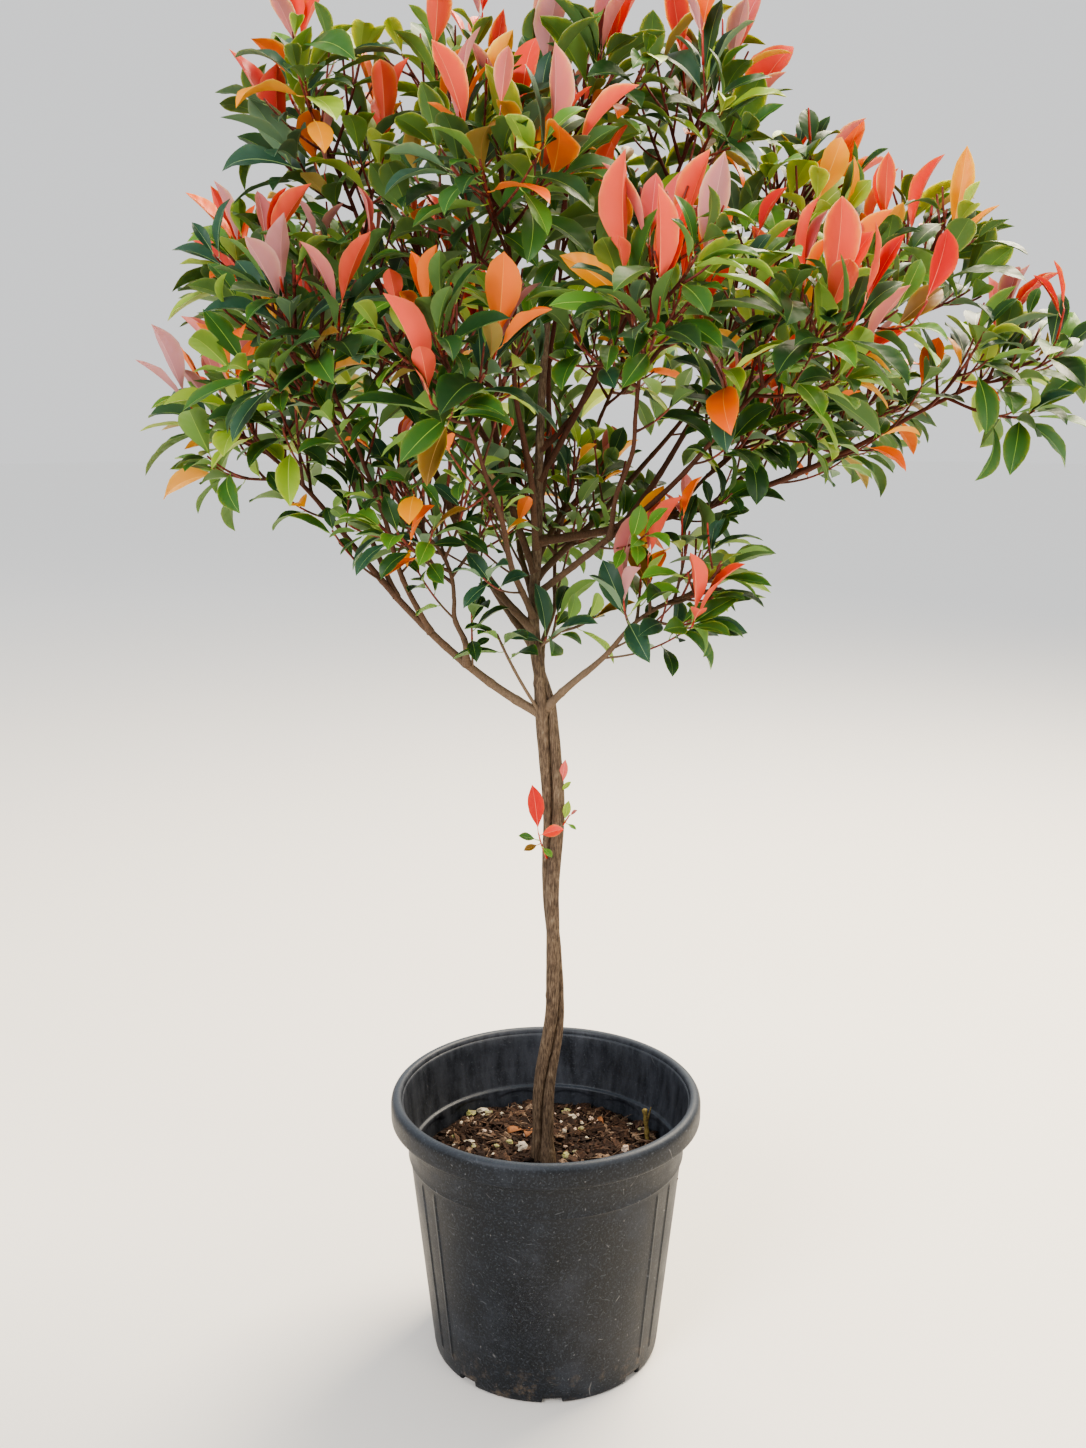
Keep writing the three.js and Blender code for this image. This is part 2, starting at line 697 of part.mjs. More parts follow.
function growMass(mass) {
  const { roll } = mass;
  const stem = taperedLimb(mass.stem.getPoints(stemShape.segments), stemShape, ...mass.stemRadii);
  const sprigs = [];
  for (let index = 0; index < mass.twigs; index += 1) {
    const climb = index / (mass.twigs - 1);
    const share = blend(growth.firstTwig, growth.lastTwig, climb);
    const start = mass.stem.getPoint(share);
    const spin = growth.turn * index + growth.turnSpread * (roll() - 0.5);
    const tilt = blend(growth.baseAngle, growth.tipAngle, climb) + growth.angleSpread * (roll() - 0.5);
    const heading = along(turned(mass.stem.getTangent(share), tilt, spin), up, growth.twigRise).normalize();
    const free = reachAlong(start, heading, mass) - mass.leaf * growth.leafRoom;
    const wanted = Math.max(free * blend(growth.leastReach, 1, roll()), mass.leaf * growth.shortest);
    const curves = growth.shorter.map((part) => twigCurve(start, heading, wanted * part));
    const curve = curves.find((candidate) => twigFits(candidate, mass));
    const sprig = curve && growSprig(curve, spin, mass, stem, sprigs);
    if (sprig) sprigs.push(sprig);
  }
  const grown = wasm.Manifold.union([stem, ...sprigs]);
  const onTrunk = mass.height !== undefined;
  return largest(onTrunk ? grown.subtract(fatTrunk) : grown).simplify(smoothing);
}

// The shrub

const finish = {
  pot: { color: 0x2b2d30, roughness: 0.55, metalness: 0 },
  mulch: { color: 0x3a2a20, roughness: 0.95, metalness: 0 },
  bark: { color: 0x7a6a58, roughness: 0.9, metalness: 0 },
  bough: { color: 0x6b4a38, roughness: 0.85, metalness: 0 },
  leaf: { color: 0x4c6a2c, roughness: 0.4, metalness: 0 },
};

const shrub = new THREE.Group();

function add(name, solid, look) {
  const mesh = new THREE.Mesh(meshOf(solid), new THREE.MeshStandardMaterial(finish[look]));
  mesh.name = name;
  shrub.add(mesh);
}

add('pot', buildPot(), 'pot');
add('mulch', buildMulch(), 'mulch');
add('trunk', buildTrunk(0), 'bark');

masses.filter((mass) => mass.path).forEach((mass) => {
  const whole = taperedLimb(mass.path, boughShape, ...mass.thick);
  const parent = masses.find((other) => other.name === mass.from);
  const carrier = parent ? taperedLimb(parent.path, boughShape, ...parent.thick, gap + 0.05) : fatTrunk;
  add(`bough_${mass.name}`, largest(whole.subtract(carrier)), 'bough');
});

masses.forEach((mass) => add(`foliage_${mass.name}`, growMass(mass), 'leaf'));

export default shrub;
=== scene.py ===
import json
import math

import bpy
import numpy as np
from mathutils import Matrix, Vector, noise


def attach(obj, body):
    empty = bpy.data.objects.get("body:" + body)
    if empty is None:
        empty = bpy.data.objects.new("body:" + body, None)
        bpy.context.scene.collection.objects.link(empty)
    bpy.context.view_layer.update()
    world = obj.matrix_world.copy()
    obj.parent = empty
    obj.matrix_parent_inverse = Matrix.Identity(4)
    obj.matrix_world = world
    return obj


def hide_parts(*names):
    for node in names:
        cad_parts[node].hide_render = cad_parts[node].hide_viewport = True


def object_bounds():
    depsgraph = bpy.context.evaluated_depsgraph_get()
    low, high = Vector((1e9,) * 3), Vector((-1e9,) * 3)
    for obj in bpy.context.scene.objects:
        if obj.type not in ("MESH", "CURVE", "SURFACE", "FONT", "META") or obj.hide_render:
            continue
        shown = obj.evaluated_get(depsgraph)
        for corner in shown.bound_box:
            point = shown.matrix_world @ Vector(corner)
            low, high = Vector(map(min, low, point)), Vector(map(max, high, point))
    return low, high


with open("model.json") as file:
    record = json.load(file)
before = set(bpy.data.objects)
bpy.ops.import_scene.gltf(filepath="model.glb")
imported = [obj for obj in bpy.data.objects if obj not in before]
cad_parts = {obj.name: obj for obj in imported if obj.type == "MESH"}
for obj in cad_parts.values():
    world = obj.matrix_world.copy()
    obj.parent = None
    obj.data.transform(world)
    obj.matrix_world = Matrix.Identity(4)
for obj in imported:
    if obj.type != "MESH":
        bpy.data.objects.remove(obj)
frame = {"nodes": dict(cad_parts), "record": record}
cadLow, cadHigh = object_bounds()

mm = 0.001
up = np.array([0.0, 0.0, 1.0])
recordSlots = {entry["slot"] for entry in frame["record"]["materials"]}
print("frame loaded:", len(frame["nodes"]), "nodes, slots", sorted(recordSlots))


def linear(hexColour):
    channels = [int(hexColour[i:i + 2], 16) / 255 for i in (1, 3, 5)]
    return [c / 12.92 if c <= 0.04045 else ((c + 0.055) / 1.055) ** 2.4 for c in channels] + [1.0]


def addNode(tree, kind, settings=None, links=None):
    # settings: the node's own values, its inputs by name or number, or a ramp's stops
    node = tree.nodes.new("ShaderNode" + kind)
    for name, value in (settings or {}).items():
        if name == "stops":
            elements = node.color_ramp.elements
            while len(elements) < len(value):
                elements.new(0.5)
            for element, (place, tone) in zip(elements, value):
                element.position = place
                element.color = linear(tone) if isinstance(tone, str) else (tone, tone, tone, 1)
        elif isinstance(name, int) or name in node.inputs:
            hexValue = isinstance(value, str) and value.startswith("#")
            node.inputs[name].default_value = linear(value) if hexValue else value
        else:
            setattr(node, name, value)
    for name, source in (links or {}).items():
        tree.links.new(source.outputs[0] if hasattr(source, "outputs") else source, node.inputs[name])
    return node


def newMaterial(name, settings):
    material = bpy.data.materials.new(name)
    material.use_nodes = True
    shader = material.node_tree.nodes["Principled BSDF"]
    for key, value in settings.items():
        shader.inputs[key].default_value = linear(value) if isinstance(value, str) else value
    return material, material.node_tree, shader


def cloudsOf(tree, place, size, detail, roughness=0.5):
    # noise whose largest patches are so many mm across
    settings = {"Scale": 1 / (size * mm), "Detail": detail, "Roughness": roughness}
    return addNode(tree, "TexNoise", settings, {"Vector": place})


def roughen(tree, shader, height, strength, distance):
    # a relief of so many mm
    bump = addNode(tree, "Bump", {"Strength": strength, "Distance": distance * mm}, {"Height": height})
    tree.links.new(bump.outputs["Normal"], shader.inputs["Normal"])


# Camera, floor and light

camera = {
    "focal": 1493.9,  # in the picture's pixels, 1448 of them upright
    "pixelsHigh": 1448,
    "pitch": 12.785,
    "place": (-0.003, -1.4718, 1.0261),
}

studio = {
    "look": "AgX - Medium High Contrast",
    "floor": "#ebe7e0",
    "farFloor": "#fbfbfa",
    "world": "#f2f3f4",
    "worldStrength": 0.9,
    "floorRings": (0, 0.5, 1.5, 4, 9, 20),  # m
    "floorTurns": 64,
    "paling": (1.2, 6.0),  # m from the middle
    "lights": [
        # name, place, aimed at, size, watts, colour
        ("sunwardSoftbox", (1.35, 1.4, 3.2), (0.05, 0.0, 1.0), 1.9, 285, "#fff0d8"),
        ("frontSoftbox", (-1.7, -2.5, 2.3), (0.0, 0.0, 0.9), 1.4, 82, "#fbfaff"),
        ("lowSoftbox", (2.6, -2.4, 1.4), (0.0, 0.0, 0.5), 1.4, 32, "#fff6ea"),
    ],
}


def aimed(place, target):
    return (Vector(target) - Vector(place)).to_track_quat("-Z", "Y").to_euler()


def setCamera():
    data = bpy.data.cameras.new("photoCamera")
    data.sensor_width = 36
    data.lens = camera["focal"] / camera["pixelsHigh"] * data.sensor_width
    data.clip_start = 0.05
    data.clip_end = 60
    holder = bpy.data.objects.new("photoCamera", data)
    holder.location = camera["place"]
    holder.rotation_euler = (math.radians(90 - camera["pitch"]), 0, 0)
    bpy.context.scene.collection.objects.link(holder)
    bpy.context.scene.camera = holder


def setStudio():
    world = bpy.data.worlds.new("paleStudio")
    world.use_nodes = True
    sky = world.node_tree.nodes["Background"]
    sky.inputs["Color"].default_value = linear(studio["world"])
    sky.inputs["Strength"].default_value = studio["worldStrength"]
    bpy.context.scene.world = world
    bpy.context.scene.view_settings.look = studio["look"]
    for name, place, target, size, watts, colour in studio["lights"]:
        data = bpy.data.lights.new(name, "AREA")
        data.shape = "SQUARE"
        data.size = size
        data.energy = watts
        data.color = linear(colour)[:3]
        lamp = bpy.data.objects.new(name, data)
        lamp.location = place
        lamp.rotation_euler = aimed(place, target)
        bpy.context.scene.collection.objects.link(lamp)
    # a wide round floor of matt painted board, paler far off, so that its edge melts into the room
    rings = studio["floorRings"]
    turns = studio["floorTurns"]
    points = [(r * math.cos(2 * math.pi * k / turns), r * math.sin(2 * math.pi * k / turns), -0.0004)
              for r in rings for k in range(turns)]
    quads = [(i + k, i + (k + 1) % turns, i + turns + (k + 1) % turns, i + turns + k)
             for i in range(0, (len(rings) - 1) * turns, turns) for k in range(turns)]
    mesh = bpy.data.meshes.new("studioFloor")
    mesh.from_pydata(points, [], [q[::-1] for q in quads])
    material, tree, shader = newMaterial("paintedBoard", {"Roughness": 0.85})
    place = addNode(tree, "TexCoord").outputs["Object"]
    away = addNode(tree, "VectorMath", {"operation": "LENGTH"}, {0: place}).outputs["Value"]
    near, far = studio["paling"]
    share = addNode(tree, "MapRange", {"From Min": near, "From Max": far}, {"Value": away})
    paints = [(0.0, studio["floor"]), (1.0, studio["farFloor"])]
    tone = addNode(tree, "ValToRGB", {"stops": paints}, {"Fac": share})
    tree.links.new(tone.outputs["Color"], shader.inputs["Base Color"])
    mesh.materials.append(material)
    floor = bpy.data.objects.new("studioFloor", mesh)
    bpy.context.scene.collection.objects.link(floor)


setCamera()
setStudio()
print("camera and studio set")


# Meshes: many small ones gathered into one piece

class Heap:
    def __init__(self):
        self.points, self.quads, self.quadLooks, self.tris, self.triLooks = [], [], [], [], []
        self.rims = []
        self.count = 0

    def add(self, points, quads=None, look=0, tris=None, rim=None):
        self.rims.append(np.zeros(len(points), bool) if rim is None else rim)
        if quads is not None and len(quads):
            quads = np.asarray(quads)
            self.quads.append(quads + self.count)
            self.quadLooks.append(np.full(len(quads), look) if np.isscalar(look) else np.asarray(look))
        if tris is not None and len(tris):
            tris = np.asarray(tris)
            self.tris.append(tris + self.count)
            ofTris = look if np.isscalar(look) or quads is None else look[-1]
            self.triLooks.append(np.full(len(tris), ofTris) if np.isscalar(ofTris) else ofTris)
        self.points.append(np.asarray(points, float))
        self.count += len(points)


def makePiece(name, heap, materials, nodes=()):
    quads = np.concatenate(heap.quads) if heap.quads else np.zeros((0, 4), int)
    tris = np.concatenate(heap.tris) if heap.tris else np.zeros((0, 3), int)
    looks = np.concatenate([np.zeros(0, int)] + heap.quadLooks + heap.triLooks)
    mesh = bpy.data.meshes.new(name)
    mesh.vertices.add(heap.count)
    mesh.vertices.foreach_set("co", (np.concatenate(heap.points) * mm).ravel())
    mesh.loops.add(quads.size + tris.size)
    mesh.loops.foreach_set("vertex_index", np.concatenate([quads.ravel(), tris.ravel()]))
    starts = np.concatenate([np.arange(len(quads)) * 4, quads.size + np.arange(len(tris)) * 3])
    mesh.polygons.add(len(starts))
    mesh.polygons.foreach_set("loop_start", starts)
    mesh.update(calc_edges=True)
    ends = np.zeros(len(mesh.edges) * 2, int)
    mesh.edges.foreach_get("vertices", ends)
    creased = np.concatenate(heap.rims)[ends.reshape(-1, 2)].all(axis=1)
    if creased.any():
        mesh.attributes.new("sharp_edge", "BOOLEAN", "EDGE").data.foreach_set("value", creased)
    used = sorted(set(looks.tolist()))
    mesh.polygons.foreach_set("material_index", np.searchsorted(used, looks))
    mesh.polygons.foreach_set("use_smooth", np.ones(len(starts), bool))
    for look in used:
        mesh.materials.append(materials[look])
    piece = bpy.data.objects.new(name, mesh)
    bpy.context.scene.collection.objects.link(piece)
    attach(piece, "root")
    if nodes:
        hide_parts(*nodes)


# Lines and directions, as the solids' source works them out

def vec(x, y, z):
    return np.array([x, y, z], float)


def unit(v):
    return v / np.linalg.norm(v)


def blend(low, high, share):
    return low + (high - low) * share


def spun(points, angle):
    # about the upright axis
    cosine, sine = math.cos(angle), math.sin(angle)
    return np.asarray(points) @ np.array([[cosine, sine, 0], [-sine, cosine, 0], [0, 0, 1]])


def degreesApart(turn, other):
    return abs((turn - other + 180) % 360 - 180)


def sideOf(direction):
    side = np.cross(direction, up)
    return vec(1, 0, 0) if side @ side < 1e-6 else unit(side)


def turned(direction, tilt, spin):
    side = sideOf(direction)
    front = np.cross(side, direction)
    outward = side * math.cos(math.radians(spin)) + front * math.sin(math.radians(spin))
    tilt = math.radians(tilt)
    return unit(direction * math.cos(tilt) + outward * math.sin(tilt))


def dice(seed):
    state = seed & 0xFFFFFFFF

    def roll():
        nonlocal state
        state = (state + 0x6D2B79F5) & 0xFFFFFFFF
        mixed = ((state ^ (state >> 15)) * (state | 1)) & 0xFFFFFFFF
        mixed ^= (mixed + (mixed ^ (mixed >> 7)) * (mixed | 61)) & 0xFFFFFFFF
        return ((mixed ^ (mixed >> 14)) & 0xFFFFFFFF) / 4294967296

    return roll


def bezier(controls, shares):
    shares = np.asarray(shares, float).reshape(-1, 1)
    rest = 1 - shares
    if len(controls) == 3:
        a, b, c = controls
        return rest ** 2 * a + 2 * rest * shares * b + shares ** 2 * c
    a, b, c, d = controls
    return rest ** 3 * a + 3 * rest ** 2 * shares * b + 3 * rest * shares ** 2 * c + shares ** 3 * d


def throughPoints(points, stations):
    # a centripetal spline through the points, even in its parameter
    made = []
    last = len(points) - 1
    for place in np.linspace(0, last, stations + 1):
        k = min(int(place), last - 1)
        w = place - k
        p1, p2 = points[k], points[k + 1]
        p0 = points[k - 1] if k else 2 * p1 - p2
        p3 = points[k + 2] if k + 2 <= last else 2 * p2 - p1
        d0, d1, d2 = [np.linalg.norm(b - a) ** 0.5 for a, b in ((p0, p1), (p1, p2), (p2, p3))]
        t1 = ((p1 - p0) / d0 - (p2 - p0) / (d0 + d1) + (p2 - p1) / d1) * d1
        t2 = ((p2 - p1) / d1 - (p3 - p1) / (d1 + d2) + (p3 - p2) / d2) * d1
        squared, cubed = 3 * (p2 - p1) - 2 * t1 - t2, 2 * (p1 - p2) + t1 + t2
        made.append(p1 + t1 * w + squared * w ** 2 + cubed * w ** 3)
    return np.array(made)


def framesAlong(points, firstWay):
    ways = np.gradient(points, axis=0)
    ways /= np.linalg.norm(ways, axis=1)[:, None]
    if firstWay is not None:
        ways[0] = firstWay
    side = sideOf(ways[0])
    sides = []
    for way in ways:
        side = unit(side - (side @ way) * way)
        sides.append(side)
    sides = np.array(sides)
    return ways, sides, np.cross(ways, sides)


def lengthsAlong(points):
    return np.concatenate([[0], np.cumsum(np.linalg.norm(np.diff(points, axis=0), axis=1))])


def addLimb(heap, points, radii, turns, look=0, firstWay=None):
    # radii: one for each point, or one for each point and turn; look: one, or one for each ring
    points = np.asarray(points, float)
    radii = np.asarray(radii, float)
    radii = radii[:, None] if radii.ndim == 1 else radii
    ways, sides, fronts = framesAlong(points, firstWay)
    angles = np.arange(turns) * 2 * math.pi / turns
    cosines, sines = np.cos(angles)[None, :, None], np.sin(angles)[None, :, None]
    ring = cosines * sides[:, None] + sines * fronts[:, None]
    skin = points[:, None] + ring * (radii * np.ones(turns))[:, :, None]
    n = len(points)
    low = np.arange(turns)
    after = (low + 1) % turns
    rows = (np.arange(n - 1) * turns)[:, None]
    quads = np.stack([rows + low, rows + after, rows + after + turns, rows + low + turns], axis=2)
    quads = quads.reshape(-1, 4)
    ends = np.vstack([points[0] - ways[0] * radii[0].mean() * 0.2,
                      points[-1] + ways[-1] * radii[-1].mean() * 0.6])
    last = (n - 1) * turns
    tris = np.vstack([
        np.stack([np.full(turns, n * turns), after, low], axis=1),
        np.stack([np.full(turns, n * turns + 1), last + low, last + after], axis=1),
    ])
    if not np.isscalar(look):
        look = np.repeat(np.asarray(look)[:n - 1], turns)
    heap.add(np.vstack([skin.reshape(-1, 3), ends]), quads, look, tris)


# Plastic pot

pot = {
    "baseRadius": 123.0,
    "wallTopRadius": 145.6,
    "bandFoot": 225.0,
    "notchCount": 8,
    "notchFirst": -87.0,
    "notchWidth": 21.0,
    "notchHeight": 7.5,
    "notchDepth": 26.0,
    "ribTurns": (52.0, 62.0),  # degrees from the front on either side, and again at the back
    "ribHeight": 1.1,
    "ribHalfTurn": 0.42,
    "ribFoot": 20.0,
    "ribTop": 219.0,
    "archCount": 14,
    "archHalfTurn": 9.6,
    "archDepth": 1.5,
    "archTop": 221.0,
    "wallIn": 4.2,  # from the wall's outer face to its inner one below the ledge
    "turnStep": 1.5,  # degrees between the wall's columns
    "outerRows": 26,  # of the profile, from the middle of the underside up to the band
    "plastic": [(0.32, "#090c10"), (0.54, "#12161c"), (0.76, "#222830")],
    "grain": "#2f343b",
    "scratches": [
        # spacing, half width, share of cells with one, bend, strength, tint
        (5.9, 0.8, 0.85, 6, 0.5, "#4d5258"),
        (10, 0.8, 0.6, 14, 0.6, "#62666a"),
        (21, 1.0, 0.25, 30, 0.7, "#7c7b7a"),
    ],
    "dust": "#47464a",
    # paler tint of what faces up: fine settled dust, and a painted sheen of the sky
    "settledDustAndSheen": "#535a64",
    # paler streaks inside: dried runs, and painted light on the shaded inner wall
    "driedRunsAndPaintedLight": "#474a50",
    "soilSplash": "#625444",
}


def strokes(tree, place, spacing, halfWidth, chance, bend):
    # one straight hairline in each of some cells, in a random direction, bent a little by noise
    half = {"operation": "SUBTRACT", 1: (0.5, 0.5, 0.5)}
    wander = cloudsOf(tree, place, 2 * spacing, 1.0)
    centred = addNode(tree, "VectorMath", half, {0: wander.outputs["Color"]})
    pushed = addNode(tree, "VectorMath", {"operation": "SCALE", "Scale": bend * mm}, {0: centred})
    moved = addNode(tree, "VectorMath", {"operation": "ADD"}, {0: place, 1: pushed})
    cell = addNode(tree, "TexVoronoi", {"Scale": 1 / (spacing * mm)}, {"Vector": moved})
    local = addNode(tree, "VectorMath", {"operation": "SUBTRACT"}, {0: moved, 1: cell.outputs["Position"]})
    spin = addNode(tree, "VectorMath", half, {0: cell.outputs["Color"]})
    way = addNode(tree, "VectorMath", {"operation": "NORMALIZE"}, {0: spin})
    cross = addNode(tree, "VectorMath", {"operation": "CROSS_PRODUCT"}, {0: local, 1: way})
    away = addNode(tree, "VectorMath", {"operation": "LENGTH"}, {0: cross})
    line = addNode(tree, "MapRange", {"From Max": halfWidth * mm, "To Min": 1.0, "To Max": 0.0},
                   {"Value": away.outputs["Value"]})
    parts = addNode(tree, "SeparateXYZ", {}, {"Vector": cell.outputs["Color"]})
    picked = addNode(tree, "Math", {"operation": "LESS_THAN", 1: chance}, {0: parts.outputs["Z"]})
    return addNode(tree, "Math", {"operation": "MULTIPLY"}, {0: line, 1: picked})


def mouldedPolypropylene():
    # injection-moulded black polypropylene: satin, greyed by dust, handling and fine scratches
    material, tree, shader = newMaterial("mouldedPolypropylene", {"IOR": 1.49, "Specular IOR Level": 0.34})
    place = addNode(tree, "TexCoord").outputs["Object"]
    # the plastic is greyed in patches about 45 mm across
    haze = cloudsOf(tree, place, 45, 6.0, 0.62)
    layers = []
    # the mould's grain is about 0.8 mm and is drawn at 2.4 mm, so that it shows
    grain = cloudsOf(tree, place, 2.4, 2.0, 0.7)
    speck = addNode(tree, "ValToRGB", {"stops": [(0.5, 0.0), (0.64, 0.55)]}, {"Fac": grain})
    layers.append((speck, pot["grain"]))
    # scratches of 4 to 14 mm: real ones are hairlines, drawn 1 mm wide so that they show
    for spacing, halfWidth, chance, bend, strength, tint in pot["scratches"]:
        lines = strokes(tree, place, spacing, halfWidth, chance, bend)
        layers.append((addNode(tree, "Math", {"operation": "MULTIPLY", 1: strength}, {0: lines}), tint))
    # pale dust that clings in clouds about 90 mm across
    cloud = cloudsOf(tree, place, 90, 5.0, 0.7)
    film = addNode(tree, "ValToRGB", {"stops": [(0.5, 0.0), (0.78, 0.25)]}, {"Fac": cloud})
    layers.append((film, pot["dust"]))
    # whatever faces up, which is the rim's crown and the ledge inside, is paler: partly fine dust that lies
    # there, partly a painted sheen of the sky on it
    facing = addNode(tree, "TexCoord").outputs["Normal"]
    upward = addNode(tree, "SeparateXYZ", {}, {"Vector": facing}).outputs["Z"]
    film = addNode(tree, "MapRange", {"From Min": 0.35, "To Max": 0.5}, {"Value": upward})
    layers.append((film, pot["settledDustAndSheen"]))
    # dried watering runs on the wall inside, some 12 mm wide and four times as tall, which are also painted
    # light that lifts the shaded inner wall
    level = addNode(tree, "VectorMath", {"operation": "MULTIPLY", 1: (1.0, 1.0, 0.0)}, {0: place})
    outward = addNode(tree, "VectorMath", {"operation": "DOT_PRODUCT"}, {0: level, 1: facing})
    inside = addNode(tree, "MapRange", {"From Min": -40 * mm, "From Max": -100 * mm},
                     {"Value": outward.outputs["Value"]})
    stretched = addNode(tree, "Mapping", {"Scale": (1.0, 1.0, 0.25)}, {"Vector": place})
    streaks = cloudsOf(tree, stretched, 12, 6.0, 0.65)
    run = addNode(tree, "ValToRGB", {"stops": [(0.36, 0.15), (0.66, 0.8)]}, {"Fac": streaks})
    layers.append((addNode(tree, "Math", {"operation": "MULTIPLY"}, {0: inside, 1: run}), pot["driedRunsAndPaintedLight"]))
    # dried splashes of soil, some 14 mm each, on the lowest 50 mm
    height = addNode(tree, "SeparateXYZ", {}, {"Vector": place}).outputs["Z"]
    low = addNode(tree, "MapRange", {"From Max": 50 * mm, "To Min": 1.0, "To Max": 0.0}, {"Value": height})
    blots = cloudsOf(tree, place, 14, 8.0, 0.75)
    blot = addNode(tree, "ValToRGB", {"stops": [(0.52, 0.0), (0.66, 0.8)]}, {"Fac": blots})
    layers.append((addNode(tree, "Math", {"operation": "MULTIPLY"}, {0: low, 1: blot}), pot["soilSplash"]))
    colour = addNode(tree, "ValToRGB", {"stops": pot["plastic"]}, {"Fac": haze}).outputs["Color"]
    for share, tint in layers:
        colour = addNode(tree, "Mix", {"data_type": "RGBA", 7: tint}, {0: share, 6: colour}).outputs[2]
    tree.links.new(colour, shader.inputs["Base Color"])
    worn = addNode(tree, "MapRange", {"From Min": 0.3, "From Max": 0.7, "To Min": 0.38, "To Max": 0.55},
                   {"Value": haze})
    tree.links.new(worn.outputs["Result"], shader.inputs["Roughness"])
    roughen(tree, shader, cloudsOf(tree, place, 1.1, 3.0), 0.4, 0.4)
    return material


def wallRadius(height):
    share = (height - 4.0) / (pot["bandFoot"] - 4.0)
    return blend(pot["baseRadius"], pot["wallTopRadius"], share)


def potProfile(notched):
    # outer side from the centre of the underside up to the lip, then the inner side down
    foot = pot["baseRadius"] - pot["notchDepth"]
    top = pot["notchHeight"]
    if notched:
        lower = [(0, 0), (60, 0), (foot, 0), (foot, 2), (foot, top - 1), (foot + 2, top),
                 (wallRadius(top) - 1, top), (wallRadius(top), top + 0.3)]
    else:
        lower = [(0, 0), (60, 0), (foot, 0), (foot + 12, 0), (119.4, 0), (121.4, 0.8), (122.6, 2.4),
                 (wallRadius(top), top + 0.3)]
    heights = (13, 17, 20, 22, 24, 50, 80, 110, 140, 170, 200, 214, 217, 219, 221, 223.6)
    wall = [(wallRadius(z), z) for z in heights]
    band = [(145.9, 224.6), (147.2, 225.2), (147.5, 226.2), (147.2, 227.2), (147.9, 236), (149.0, 250),
            (150.0, 262), (150.9, 274), (151.4, 284), (152.6, 286.4), (155, 287), (159, 286.8),
            (161.2, 285.4), (161.9, 282), (162.0, 272)]
    lip = [(162.1, 268.6), (162.8, 267.2), (163.8, 267.0), (164.7, 268.0), (164.95, 270), (165, 274),
           (165, 280), (164.9, 284), (164.3, 287), (163.0, 289.4), (161.2, 291.1), (159.0, 291.9),
           (156.8, 292.0), (155.0, 291.3), (153.8, 289.9), (153.1, 287.8), (152.8, 285)]
    inner = [(152.3, 278), (151.0, 264), (149.2, 250), (147.2, 238), (145.6, 229), (145.2, 227.2),
             (144.8, 226.2), (143.9, 225.7), (142.4, 225.3), (141.5, 224.6), (141.2, 223.6)]
    below = [(wallRadius(z) - pot["wallIn"], z) for z in np.arange(222.6, 203, -1.2)]
    floor = [(122, 12), (120.5, 6), (117.8, 2.6), (60, 2.6), (0, 2.6)]
    return lower + wall + band + lip + inner + below + floor


def archShare(turn, height):
    # 1 inside the round-topped panels pressed into the inner wall below the ledge
    pitch = 360 / pot["archCount"]
    off = abs((turn + pitch / 2) % pitch - pitch / 2) / pot["archHalfTurn"]
    if off >= 1 or height > pot["archTop"]:
        return 0.0
    top = pot["archTop"] - 7.5 * (1 - math.sqrt(1 - off ** 2.6))
    return min(max((top - height) / 1.3, 0.0), 1.0)


def buildPot():
    ribs = []
    for turn in pot["ribTurns"]:
        ribs += [-90 - turn, -90 + turn, 90 - turn, 90 + turn]
    notches = [pot["notchFirst"] + 360 / pot["notchCount"] * k for k in range(pot["notchCount"])]
    half = math.degrees(math.asin(pot["notchWidth"] / 2 / pot["baseRadius"]))
    turns = set(np.round(np.arange(0, 360, pot["turnStep"]), 3).tolist())
    for rib in ribs:
        turns |= {round((rib + step) % 360, 3) for step in (-0.9, -0.42, 0.0, 0.42, 0.9)}
    for notch in notches:
        for edge in (notch - half, notch + half):
            turns = {turn for turn in turns if degreesApart(turn, edge) > 0.35}
            turns |= {round((edge + step) % 360, 3) for step in (-0.12, 0.12)}
    turns = sorted(turns)
    heap = Heap()
    skin = []
    for turn in turns:
        notched = any(degreesApart(turn, notch) < half for notch in notches)
        rib = min(degreesApart(turn, one) for one in ribs)
        ridge = pot["ribHeight"] * max(0.0, 1 - (rib / (2 * pot["ribHalfTurn"])) ** 2)
        profile = potProfile(notched)
        turnedOut = math.radians(turn)
        for index, (radius, height) in enumerate(profile):
            outside = index < pot["outerRows"]
            if outside and ridge and pot["ribFoot"] < height < pot["ribTop"]:
                radius += ridge * min(1.0, (height - pot["ribFoot"]) / 4, (pot["ribTop"] - height) / 3)
            if not outside and 203 < height < 224:
                radius += pot["archDepth"] * archShare(turn, height)
            skin.append((radius * math.cos(turnedOut), radius * math.sin(turnedOut), height))
    rows = len(potProfile(False))
    columns = len(turns)
    ids = np.arange(rows * columns).reshape(columns, rows)
    ids[:, 0] = 0
    ids[:, -1] = rows - 1
    after = np.roll(ids, -1, axis=0)
    quads = np.stack([ids[:, 1:-2], after[:, 1:-2], after[:, 2:-1], ids[:, 2:-1]], axis=2).reshape(-1, 4)
    tris = np.vstack([
        np.stack([ids[:, 0], after[:, 1], ids[:, 1]], axis=1),
        np.stack([ids[:, -2], after[:, -2], ids[:, -1]], axis=1),
    ])
    heap.add(skin, quads, 0, tris)
    makePiece("nursery_pot", heap, [mouldedPolypropylene()], ["pot"])


buildPot()
print("pot moulded")


# Bark mulch on the compost

